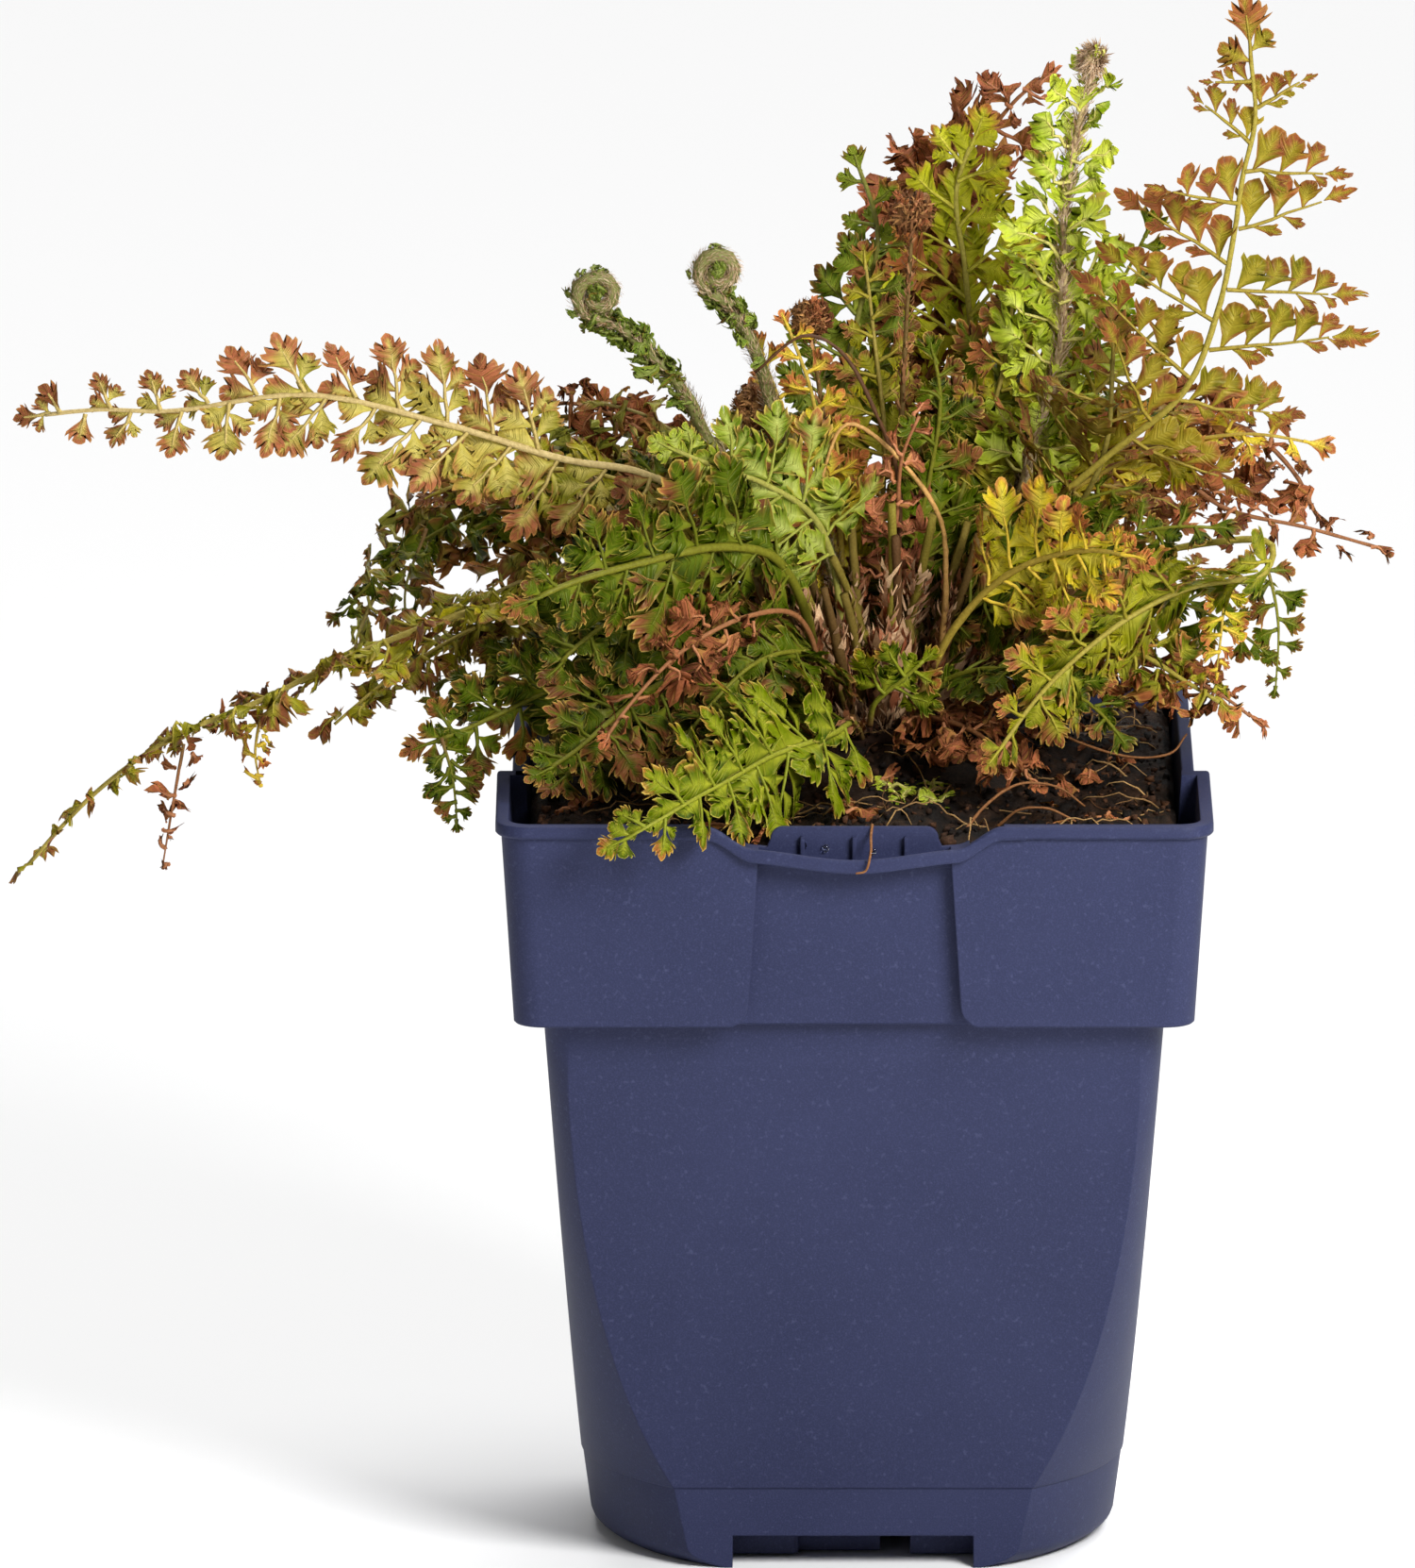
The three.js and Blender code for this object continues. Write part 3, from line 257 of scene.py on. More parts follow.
def leaf(name, roughness, through, gloss, vein_depth, wrinkle):
    """A leaf: the tint of its points, mottled, with fine pale veins and a pale margin. through is the
    share of light that comes through it, gloss its shine, and the depths are in metres."""
    made = material(name)
    tint = attribute(made, "tint", "Color")
    vein = attribute(made, "vein", "Vector")
    phase, place, pale = (node(made, "SeparateXYZ", i0=vein).outputs[i] for i in range(3))
    wave = sums(made, "COSINE", sums(made, "MULTIPLY", phase, 2 * math.pi))
    fine = sums(made, "COSINE", sums(made, "MULTIPLY", phase, 6 * math.pi))
    crest, inside = ramp(made, wave, 0.0, 1.0, 0.72, 1.0), ramp(made, place, 1.0, 0.0, 0.7, 0.97)
    line = sums(made, "MULTIPLY", crest, inside)
    rim = sums(made, "MULTIPLY", ramp(made, place, 0.0, 0.85, 0.86, 1.0), pale)
    mottle = speckle(made, 900, 4.0, 0.65)
    rough = speckle(made, 2600, 2.0)
    colour = blend(made, ramp(made, mottle, 0.0, 0.6, 0.38, 0.72), tint, MOTTLE_TINT, "MULTIPLY")
    colour = blend(made, sums(made, "MULTIPLY", line, 0.16), colour, VEIN_TINT)
    colour = blend(made, rim, colour, MARGIN_TINT)
    height = sums(made, "ADD", sums(made, "MULTIPLY", fine, -0.25), sums(made, "MULTIPLY", line, -1.0))
    normal = bump(made, height, vein_depth, 0.9)
    normal = bump(made, mottle, wrinkle, 0.8, normal)
    normal = bump(made, rough, 0.00005, 0.5, normal)
    shine = ramp(made, mottle, roughness, roughness + 0.12)
    front = coat(made, colour, shine, Normal=normal, Specular_IOR_Level=gloss, Specular_Tint=GLOSS_TINT)
    glow = blend(made, 0.5, colour, THROUGH_TINT, "SOFT_LIGHT")
    behind = node(made, "BsdfTranslucent", Color=glow, Normal=normal)
    return close(made, node(made, "MixShader", i0=through, i1=front.outputs[0], i2=behind.outputs[0]))


def matt(name, scale, darker, roughness, depth, strength=0.8):
    """A rough dry surface whose tint is broken up by noise."""
    made = material(name)
    tint = attribute(made, "tint", "Color")
    grain = speckle(made, scale, 5.0, 0.7)
    colour = blend(made, ramp(made, grain, 0.0, 1.0, 0.35, 0.65), tint, darker, "MULTIPLY")
    shine = ramp(made, grain, roughness, roughness + 0.1)
    normal = bump(made, grain, depth, strength)
    return close(made, coat(made, colour, shine, Normal=normal, Specular_IOR_Level=0.16))


def earth_body():
    """The filling below its crumbly top, where no point has a tint."""
    made = material("packed_peat")
    grain = speckle(made, 900, 5.0, 0.7)
    colour = blend(made, ramp(made, grain, 0.0, 1.0), *PACKED_PEAT)
    return close(made, coat(made, colour, 0.75, Normal=bump(made, grain, 0.0008)))


def water():
    made = material("water_drop")
    shine = ramp(made, speckle(made, 300), 0.02, 0.06)
    return close(made, coat(made, vec(0.95, 0.97, 1.0), shine, Transmission_Weight=1.0, IOR=WATER_IOR))


def floor_paint():
    made = material("pale_floor")
    return close(made, coat(made, FLOOR_TINT, 0.95, Specular_IOR_Level=0.0))


PLASTIC = plastic()
FRESH = leaf("fresh_leaf", 0.3, 0.26, 0.2, 0.00013, 0.0001)
DRY = leaf("dry_leaf", 0.65, 0.16, 0.12, 0.0002, 0.0004)
STALK = matt("fern_stalk", 1500, vec(0.66, 0.62, 0.5), 0.45, 0.00014)
SCALY = matt("papery_scales", 2500, vec(0.66, 0.58, 0.46), 0.7, 0.00015)
EARTH = matt("moist_peat", 1400, vec(0.4, 0.36, 0.33), 0.55, 0.0005, 1.0)
PEAT = earth_body()
ROOT = matt("dry_root", 2500, vec(0.6, 0.5, 0.4), 0.7, 0.0001)
WATER = water()
FROND_PARTS = [FRESH, STALK, SCALY, DRY]

# ---------------------------------------------------------------- the pot
POT_HEIGHT = 144.5
RIM_HALF = 65.0
BEAD_HEIGHT = 2.4
COLLAR_TOP_HALF = 64.1
COLLAR_FOOT_HALF = 61.7
COLLAR_CORNER = 5.5
COLLAR_WALL = 1.5
PANEL_PROUD = 2.8  # how far the two front corners stand out from the rest of the collar
PANEL_FROM = 18.0
PANEL_SLANT = 1.3  # the panels part a little from top to bottom
PANEL_CORNER = 4.3
LEDGE = 106.5
LEDGE_THICKNESS = 1.4
BODY_TOP_HALF = 56.4
SEAM = 15.0
SEAM_HALF = 49.9
SEAM_STEP = 0.25
SEAM_FRONT = 38.4
FOOT_HALF = 47.6
FOOT_ROUND = 3.4
FOOT_ROUND_HEIGHT = 3.5
CORNER_START = 48.4
CORNER_FADE = 45.5
BODY_WALL = 1.5
FLOOR_UNDER = 6.5
FLOOR_TOP = 8.3
DIP_REACH, DIP_DROP, DIP_SLOPE = 27.0, 4.1, 8.7  # the rim's dip at the label pocket
SAG_REACH, SAG_DROP = 20.0, 1.8
DIP_CUT = (58.8, 70.0)  # how far forward the cut for the dip starts and ends
LIP_HALF = 22.0
LIP_BOW = 66.5
LIP_HIGH = 2.6
LIP_THICK = 0.6
LIP_REACH = 31.0
LIP_SQUARE = 0.55  # 1 is a round bead, less is squarer
POCKET_HALF = 18.7
POCKET_BACK = 60.2
POCKET_FLOOR = 1.1
TAB_HALF = 15.2
TAB_TOP = 143.6
TAB_ROUND = 2.2
TAB_FOOT = ((2.6, 136.2), (0.6, 140.0))  # how far its foot flares, and at what height
TAB_FACE = 61.0
TAB_WALL = 1.2
RIB_AT = (-9.4, 0.0, 9.4)
RIB_HALF = 0.4
RIB_FOOT, RIB_TOP = 136.6, 141.9
NOTCH_HALF = 22.0
NOTCH_HEIGHT = 6.0
NOTCH_DEPTH = 8.6
HUB_RADIUS = 5.0
# Walls behind a foot notch: from x to x, and from y to y behind the notch.
NOTCH_WALLS = ((-23.3, -10.6, 0, 1.3), (10.5, 23.3, 0, 1.3), (-11.2, 5, 2.6, 3.9), (-11.2, -10, 0.2, 3.8))
DRAIN_HALF = 4.0
DRAIN_AT = (27, 14)
ARC_STEPS = 14
BODY_RINGS = 23
FAR = 80.0  # beyond the pot on every side
CRISP_EDGE = 28.0  # degrees, above which an edge is shaded crisp


def square_ring(z, side, front, corner):
    """One level of the pot: a rounded square, cut flat at the front and the back."""
    centre = side - corner
    sweep = math.asin(min(1.0, (front - centre) / corner))
    angles = [sweep * i / ARC_STEPS for i in range(ARC_STEPS + 1)]
    arc = [(centre + corner * math.cos(a), centre + corner * math.sin(a)) for a in angles]
    back = arc[::-1]
    quarters = arc + [(-x, y) for x, y in back] + [(-x, -y) for x, y in arc] + [(x, -y) for x, y in back]
    return np.array([(x, y, z) for x, y in quarters])


def body_ring(z, inset=0.0):
    """One level of the body, which goes from flat-fronted at the seam to square at the ledge."""
    rise = (z - SEAM) / (LEDGE - SEAM)
    side = mix(SEAM_HALF, BODY_TOP_HALF, rise)
    front = mix(SEAM_FRONT, BODY_TOP_HALF, rise)
    corner = CORNER_START * math.exp(-(z - SEAM) / CORNER_FADE)
    return square_ring(z, side - inset, front - inset, corner - inset)


def foot_ring(z, inset=0.0):
    """One level of the foot, below the seam."""
    curl = FOOT_ROUND * (1 - min(z / FOOT_ROUND_HEIGHT, 1)) ** 2
    side = mix(FOOT_HALF, SEAM_HALF - SEAM_STEP, z / SEAM) - curl
    return square_ring(z, side - inset, SEAM_FRONT - SEAM_STEP - inset, side - inset - 1.5)


def collar_ring(z, inset):
    """One level of the collar, between the ledge and the rim."""
    half = mix(COLLAR_FOOT_HALF, COLLAR_TOP_HALF, (z - LEDGE) / (POT_HEIGHT - LEDGE)) - inset
    return square_ring(z, half, half, max(COLLAR_CORNER - inset, 1.0))


def bead_ring(z, inset):
    """One level of the bead round the rim."""
    return square_ring(z, RIM_HALF - inset, RIM_HALF - inset, max(COLLAR_CORNER + 0.6 - inset, 1.0))


def at_height(ring, z):
    out = ring.copy()
    out[:, 2] = z
    return out


def skin(rings):
    """Points and faces of the closed skin through a stack of rings."""
    count = len(rings[0])
    faces = [
        (r * count + i, r * count + (i + 1) % count, (r + 1) * count + (i + 1) % count, (r + 1) * count + i)
        for r in range(len(rings) - 1) for i in range(count)
    ]
    last = (len(rings) - 1) * count
    faces += [tuple(range(count - 1, -1, -1)), tuple(range(last, last + count))]
    return np.concatenate(rings), faces


def prism(outline, depth, to_world=lambda a, b, c: (a, b, c)):
    """A closed solid: a flat outline of (a, b) pairs, carried along c from 0 to depth."""
    return skin([np.array([to_world(a, b, c) for a, b in outline], float) for c in (0, depth)])


def block(x0, x1, y0, y1, z0, z1):
    outline = [(x0, y0), (x1, y0), (x1, y1), (x0, y1)]
    return prism(outline, z1 - z0, lambda a, b, c: (a, b, z0 + c))


def mapped(shape, change, flip=False):
    """A shape with each point moved. flip turns its faces over, as a mirror image needs."""
    points, faces = shape
    return np.array([change(*p) for p in points]), [f[::-1] for f in faces] if flip else faces


def mirrored(shape):
    return mapped(shape, lambda x, y, z: (-x, y, z), True)


def turned(shape):
    return mapped(shape, lambda x, y, z: (-x, -y, z))


def arc_points(cx, cy, radius, start, end, steps):
    angles = np.linspace(start, end, steps + 1)
    return [(cx + radius * math.cos(a), cy + radius * math.sin(a)) for a in angles]


def collar_skin(inset):
    """The collar's outside with its bead, closed above and below."""
    under = POT_HEIGHT - BEAD_HEIGHT
    return [
        collar_ring(LEDGE, inset + 0.3), collar_ring(LEDGE + 0.3, inset), collar_ring(under, inset),
        bead_ring(under, inset + 0.35), bead_ring(under + 0.4, inset), bead_ring(POT_HEIGHT - 0.6, inset),
        bead_ring(POT_HEIGHT - 0.15, inset + 0.2), bead_ring(POT_HEIGHT, inset + 0.6),
    ]


def panel_range(side):
    """Everything beyond PANEL_FROM, with a round lower corner, seen from the front or the side."""
    foot, top = LEDGE - 0.1, POT_HEIGHT + 5.5
    near, far = PANEL_FROM + PANEL_SLANT + PANEL_CORNER, PANEL_FROM - PANEL_SLANT
    outline = [(FAR, foot), (FAR, top), (far, top)]
    outline += arc_points(near, foot + PANEL_CORNER, PANEL_CORNER, math.pi, 1.5 * math.pi, 8)
    if side:
        return prism(outline[::-1], 2 * FAR, lambda a, b, c: (c - FAR, -a, b))
    return prism(outline[::-1], 2 * FAR, lambda a, b, c: (a, c - FAR, b))


def lip_face(x):
    """How far forward the rim bows at x."""
    return RIM_HALF + (LIP_BOW - RIM_HALF) * max(0.0, 1 - (x / LIP_HALF) ** 2)


def lip_top(x):
    """The rim's height along the front, where it dips to the label pocket and sags."""
    dip = DIP_DROP * ease((DIP_REACH - abs(x)) / DIP_SLOPE)
    return float(POT_HEIGHT - dip - SAG_DROP * ease((SAG_REACH - abs(x)) / SAG_REACH))


def rim_dip():
    """The cut that lets the rim dip at the label pocket."""
    xs = np.linspace(-DIP_REACH, DIP_REACH, 55)
    over = POT_HEIGHT + 15.5
    outline = [(x, lip_top(x) - 0.3) for x in xs] + [(DIP_REACH, over), (-DIP_REACH, over)]
    return prism(outline, DIP_CUT[1] - DIP_CUT[0], lambda a, b, c: (a, -DIP_CUT[0] - c, b))


def rolled_lip():
    """The rim's bead where it dips and bows out round the label pocket."""
    rings = []
    around = np.linspace(0, 2 * math.pi, 16, endpoint=False)
    for x in np.linspace(LIP_REACH, -LIP_REACH, 94):
        thick = LIP_THICK * (0.72 + 0.28 * float(ease((LIP_REACH - abs(x)) / 4)))
        middle, top = lip_face(x) - LIP_THICK, lip_top(x)
        ring = []
        for a in around:
            c, s = (math.copysign(abs(v) ** LIP_SQUARE, v) for v in (math.cos(a), math.sin(a)))
            ring.append((x, -middle - thick * c, top - LIP_HIGH / 2 + LIP_HIGH / 2 * s))
        rings.append(np.array(ring))
    return skin(rings)


def pocket_floor():
    """The label pocket's floor, between the rim and the tab."""
    rings = []
    for x in np.linspace(POCKET_HALF, -POCKET_HALF, 40):
        front, low = -lip_face(x) + LIP_THICK, lip_top(x) - LIP_HIGH + 0.05
        high = low + POCKET_FLOOR
        corners = ((front, low), (front, high), (-POCKET_BACK, high), (-POCKET_BACK, low))
        rings.append(np.array([(x, y, z) for y, z in corners]))
    return skin(rings)


def carve(base, cutters, how):
    """Adds shapes to an object, or takes them from it."""
    for shape in cutters:
        tool = new_object("cutter", *shape)
        step = base.modifiers.new("cut", "BOOLEAN")
        step.operation = how
        step.solver = "EXACT"
        step.object = tool
        bpy.context.view_layer.update()
        result = bpy.data.meshes.new_from_object(base.evaluated_get(bpy.context.evaluated_depsgraph_get()))
        base.modifiers.clear()
        base.data = result
        bpy.data.objects.remove(tool)
    return base


def shape_of(made):
    """Takes a plain object away and gives its points and faces."""
    points = np.array([v.co[:] for v in made.data.vertices]) / MM
    faces = [tuple(p.vertices) for p in made.data.polygons]
    bpy.data.objects.remove(made)
    return points, faces


def front_panel():
    """The proud part round the right front corner, and the room to hollow out behind it."""
    low, high = LEDGE + LEDGE_THICKNESS, POT_HEIGHT + 1
    inner = PANEL_PROUD + COLLAR_WALL
    inside = skin([collar_ring(LEDGE - 1, inner), collar_ring(high, inner)])
    made = new_object("panel", *skin(collar_skin(0)))
    carve(made, [inside], "DIFFERENCE")
    carve(made, [panel_range(False), panel_range(True)], "INTERSECT")
    start = PANEL_FROM + PANEL_SLANT + COLLAR_WALL
    room = new_object("room", *skin([collar_ring(low, COLLAR_WALL), collar_ring(high, COLLAR_WALL)]))
    carve(room, [block(start, 70, -70, -start, low - 1, high + 1)], "INTERSECT")
    return shape_of(made), shape_of(room)


def pot_shell():
    """The pot's whole skin, from the outside of its floor up and down again to the inside of it."""
    underside = foot_ring(0, 1.8)
    levels = [mix(SEAM, LEDGE, (i / (BODY_RINGS - 1)) ** 1.15) for i in range(BODY_RINGS)]
    inner = PANEL_PROUD + COLLAR_WALL
    low = LEDGE + LEDGE_THICKNESS
    foot = [foot_ring(z) for z in (0, 0.3, 0.7, 1.2, 1.8, 2.5, FOOT_ROUND_HEIGHT, SEAM - 0.4, SEAM)]
    return skin([
        at_height(underside, FLOOR_UNDER), underside, *foot, *[body_ring(z) for z in levels],
        *collar_skin(PANEL_PROUD),
        collar_ring(POT_HEIGHT, inner - 0.2),
        collar_ring(POT_HEIGHT - 0.3, inner),
        collar_ring(low, inner), at_height(body_ring(LEDGE, BODY_WALL), low),
        *[body_ring(z, BODY_WALL) for z in levels[::-1]], foot_ring(FLOOR_TOP, BODY_WALL),
    ])


def label_tab():
    """The upright plate behind the label pocket, with its ribs."""
    ends = arc_points(TAB_ROUND - TAB_HALF, TAB_TOP - TAB_ROUND, TAB_ROUND, math.pi, math.pi / 2, 6)
    outline = [(-TAB_HALF - flare, z) for flare, z in TAB_FOOT] + ends
    outline += [(-x, z) for x, z in outline[::-1]]
    back = -TAB_FACE + TAB_WALL
    front, behind = -TAB_FACE - 1.1, -TAB_FACE + 0.3
    return [
        prism(outline[::-1], TAB_WALL, lambda a, b, c: (a, back - c, b)),
        *[block(x - RIB_HALF, x + RIB_HALF, front, behind, RIB_FOOT, RIB_TOP) for x in RIB_AT],
    ]


def make_pot():
    """The whole pot as one piece, carved and then joined by its lip and its pocket's floor."""
    panel, room = front_panel()
    pot = new_object("pot_body", *pot_shell())
    carve(pot, [panel, mirrored(panel)], "UNION")
    carve(pot, [room, mirrored(room), rim_dip()], "DIFFERENCE")
    carve(pot, label_tab(), "UNION")
    wall = SEAM_FRONT - NOTCH_DEPTH
    notch = block(-NOTCH_HALF, NOTCH_HALF, -SEAM_FRONT - 5, -wall, -1, NOTCH_HEIGHT)
    high = FLOOR_UNDER + 0.5
    walls = [block(x0, x1, -wall + y0, -wall + y1, 0.6, high) for x0, x1, y0, y1 in NOTCH_WALLS]
    hub = prism(arc_points(0, 0, HUB_RADIUS, 0, 2 * math.pi, 32)[:-1], high)
    drains = [
        block(x - DRAIN_HALF, x + DRAIN_HALF, y - DRAIN_HALF, y + DRAIN_HALF, 4, 12)
        for x in (-DRAIN_AT[0], DRAIN_AT[0]) for y in (-DRAIN_AT[1], DRAIN_AT[1])
    ]
    carve(pot, [notch, turned(notch)], "DIFFERENCE")
    carve(pot, [*walls, *map(turned, walls), hub], "UNION")
    carve(pot, drains, "DIFFERENCE")
    whole = Surface()
    for shape in (shape_of(pot), rolled_lip(), pocket_floor()):
        whole.add(*shape, WHITE)
    sharpen(whole.piece("pot_shell", [PLASTIC], "pot", "pot").data, CRISP_EDGE)


def sharpen(mesh, degrees):
    """Marks the edges between faces that meet at more than this angle, so that they shade crisp."""
    normals = [p.normal.copy() for p in mesh.polygons]
    meeting = {}
    for p in mesh.polygons:
        for key in p.edge_keys:
            meeting.setdefault(key, []).append(p.index)
    layer = mesh.attributes.new("sharp_edge", "BOOLEAN", "EDGE")
    flags = []
    for edge in mesh.edges:
        sides = meeting.get(tuple(sorted(edge.vertices)), [])
        turn = normals[sides[0]].angle(normals[sides[1]], 0) if len(sides) == 2 else 3.0
        flags.append(turn > math.radians(degrees))
    layer.data.foreach_set("value", flags)


DROPS = ((-9.4, 140.2, 0.75), (-5.2, 139.8, 0.6), (3.5, 139.2, 0.45))  # x, height and half width


def make_drops():
    """Drops of water that cling inside the label pocket."""
    surface = Surface()
    around = np.linspace(0, 2 * math.pi, 14, endpoint=False)
    for x, z, size in DROPS:
        rings = []
        for a in np.linspace(0.15, math.pi - 0.1, 8):
            r = size * math.sin(a) * (1.1 if a > 1.5 else 0.95)
            level = z - 1.25 * size * math.cos(a)
            ring = [(x + r * math.cos(b), -TAB_FACE - 0.5 + 0.7 * r * math.sin(b), level) for b in around]
            rings.append(np.array(ring))
        surface.add(*skin(rings), WHITE)
    surface.piece("water_drops", [WATER], "pot")


# ---------------------------------------------------------------- stalks' lines
CROWN = vec(5, 16, 146)
CROWN_RADIUS = 20.0
CURVE_STEPS = 200
CURL_STEPS = 9  # points for each turn of a coil
CURL_SHRINK = 0.6


class Curve:
    """A centripetal Catmull-Rom curve, with places on it given by distance."""

    def __init__(self, points):
        self.points = np.array(points, float)
        samples = np.array([self.spot(i / CURVE_STEPS) for i in range(CURVE_STEPS + 1)])
        steps = np.linalg.norm(np.diff(samples, axis=0), axis=1)
        self.run = np.concatenate([[0], np.cumsum(steps)])
        self.length = self.run[-1]

    def spot(self, t):
        """The point at t from 0 to 1."""
        pts = self.points
        last = len(pts) - 1
        place = last * t
        i = min(int(place), last - 1)
        w = place - i
        p0 = pts[i - 1] if i > 0 else 2 * pts[0] - pts[1]
        p1, p2 = pts[i], pts[i + 1]
        p3 = pts[i + 2] if i + 2 <= last else 2 * pts[last] - pts[last - 1]
        d0, d1, d2 = (max(np.sum((b - a) ** 2) ** 0.25, 1e-4) for a, b in ((p0, p1), (p1, p2), (p2, p3)))
        m1 = ((p1 - p0) / d0 - (p2 - p0) / (d0 + d1) + (p2 - p1) / d1) * d1
        m2 = ((p2 - p1) / d1 - (p3 - p1) / (d1 + d2) + (p3 - p2) / d2) * d1
        c2 = -3 * p1 + 3 * p2 - 2 * m1 - m2
        c3 = 2 * p1 - 2 * p2 + m1 + m2
        return p1 + m1 * w + c2 * w * w + c3 * w ** 3

    def share(self, distance):
        """The t of the point at a distance along the curve."""
        distance = min(max(distance, 0.0), self.length)
        return float(np.interp(distance, self.run, np.arange(len(self.run)))) / (len(self.run) - 1)

    def at(self, distance):
        return self.spot(self.share(distance))

    def along(self, distance):
        t = self.share(distance)
        return unit(self.spot(min(t + 1e-3, 1)) - self.spot(max(t - 1e-3, 0)))


def curl_points(points, across, radius, turns):
    """Further points that roll the end of a line up, about across, into a shrinking coil."""
    end = points[-1]
    along = unit(end - points[-2])
    inward = unit(np.cross(along, across))
    centre = end + inward * radius
    steps = round(turns * CURL_STEPS)
    out = []
    for i in range(steps):
        share = (i + 1) / steps
        angle = 2 * math.pi * turns * share
        r = radius * (1 - CURL_SHRINK * share)
        out.append(centre - inward * r * math.cos(angle) + along * r * math.sin(angle))
    return out


class Route:
    """Where a frond's stalk runs, and which way its leaflets lie."""

    def __init__(self, frond, sway=(0.0, 0.0, 0.0)):
        points = [np.array(p, float) for p in [frond["base"], *frond["route"]]]
        last = len(points) - 1
        points = [p + vec(*sway) * math.sin(math.pi * i / last) for i, p in enumerate(points)]
        self.across = unit(vec(*frond["across"]))
        self.across_tip = unit(vec(*frond.get("across_tip", frond["across"])))
        straight = Curve(points)
        if "curl" in frond:
            points = points + curl_points(points, self.across, *frond["curl"])
        self.curve = Curve(points)
        self.length = self.curve.length
        self.leaf_end = straight.length - (0 if "curl" in frond else frond["reach"] * TIP_SHARE)

    def at(self, distance):
        """The point there, and the ways along the stalk, across it and out of the leaf's face."""
        point = self.curve.at(distance)
        along = self.curve.along(distance)
        side = mix(self.across, self.across_tip, min(max(distance / self.length, 0), 1))
        side = unit(side - along * np.dot(side, along))
        return point, along, side, np.cross(along, side)


SWAYS = [(0.0, 0.0, 0.0)] + [
    (d * math.cos(k * math.pi / 4), d * math.sin(k * math.pi / 4), 0.0) for d in (2, 4, 6) for k in range(8)
]


def route_of(frond):
    """The line that the solid's own stalk follows, among the sways that it may have been given."""
    mesh = frame["nodes"][frond["name"]].data
    tree = kdtree.KDTree(len(mesh.vertices))
    for i, v in enumerate(mesh.vertices):
        tree.insert(v.co / MM, i)
    tree.balance()

    def miss(route):
        spots = [route.curve.at(route.length * frond["bare"] * k / 24) for k in range(3, 24)]
        return sum(tree.find(Vector(p))[2] for p in spots)

    return min((Route(frond, sway) for sway in SWAYS), key=miss)


# ---------------------------------------------------------------- leaflets
TIP_SHARE = 0.35
SHARES = (0.0, 0.58, 1.0)  # places across half a blade, from its rib to its margin
LOBE_CUT = 0.24
FOLD = 0.16  # how steeply each half of a blade rises from its rib
RIPPLE = 0.03  # the height of its ripples, as a share of its length


def half_blade(length, half, teeth, widest, depth, lobes, first, blunt, rng):
    """One half of a wedge-shaped blade: from its rib to its margin, which is toothed from first on.
    Gives the points, the faces, the place across (0 rib, 1 margin) and the vein number."""
    samples = [(0.0, 0.0), (0.4 * first, 0.0), (0.8 * first, 0.0)]
    step = (1 - first) / teeth
    for k in range(teeth):
        start = first + step * k
        cut = depth * rng.uniform(0.8, 1.3)
        if lobes and k and k % lobes == 0:
            cut += LOBE_CUT * rng.uniform(0.7, 1.2)
        samples += [
            (start, -cut if k else -0.01),
            (start + 0.3 * step, 0.02 * rng.uniform(-1, 1)),
            (start + 0.66 * step, depth * rng.uniform(0.5, 1.1)),
        ]
    samples.append((1.0, 0.08))
    fan = vec(0.16 * length, 0)
    rows, phases = [], []
    for t, out in samples:
        if t < 0.5:
            a = t / 0.5
            x = 2 * a * (1 - a) * widest * 0.6 + a * a * widest
            y = 2 * a * (1 - a) * 0.26 + a * a + 0.03 * (1 - a)
        else:
            a = (t - 0.5) / 0.5
            x = (1 - a) ** 2 * widest + 2 * a * (1 - a) * mix(widest, 1, blunt) + a * a
            y = (1 - a) ** 2 + 2 * a * (1 - a) * (0.6 + 0.36 * blunt)
        margin = vec(x * length, y * half)
        margin = fan + (margin - fan) * (1 + out)
        margin[1] = max(margin[1], 0.0)
        rib = vec(max(x, 0) * (0.42 + 0.42 * t) * length, 0)
        rows.append([mix(rib, margin, q) for q in SHARES])
        phases.append(max(t - first, -0.1) / step)
    cols = len(SHARES)
    faces = [
        (r * cols + c, (r + 1) * cols + c, (r + 1) * cols + c + 1, r * cols + c + 1)
        for r in range(len(rows) - 1) for c in range(cols - 1)
    ]
    return np.array(rows).reshape(-1, 2), faces, np.tile(SHARES, len(rows)), np.repeat(phases, cols)


def blade(length, half, teeth, rng, widest=0.74, depth=0.12, lobes=0, first=0.42, blunt=0.8):
    """A whole blade in its own plane: along s, across t, and its height h."""
    points, faces, places, phases = [], [], [], []
    count = 0
    wave = RIPPLE * length
    for side in (1, -1):
        skew = rng.uniform(0.84, 1.14)
        p, f, place, phase = half_blade(length, half * skew, teeth, widest, depth, lobes, first, blunt, rng)
        lift = FOLD * p[:, 1] + 0.6 * wave * np.cos(2 * math.pi * phase) * np.sin(math.pi * place)
        lift += wave * rng.uniform(0.6, 1.6) * np.sin(phase * 2.2 + rng.uniform(0, 6)) * place ** 2
        points.append(np.column_stack([p[:, 0], side * p[:, 1], lift]))
        faces += [tuple(i + count for i in (face if side < 0 else face[::-1])) for face in f]
        count += len(p)
        places.append(place)
        phases.append(phase + 0.5)
    return np.concatenate(points), faces, np.concatenate(places), np.concatenate(phases)


def lay(points, angle, tilt, origin):
    """Turns a blade about its own rib, then in the leaf's plane, and moves its foot to origin."""
    s, t, h = points.T
    t, h = t * math.cos(tilt) - h * math.sin(tilt), t * math.sin(tilt) + h * math.cos(tilt)
    s, t = s * math.cos(angle) - t * math.sin(angle), s * math.sin(angle) + t * math.cos(angle)
    return np.column_stack([s + origin[0], t + origin[1], h + origin[2]])


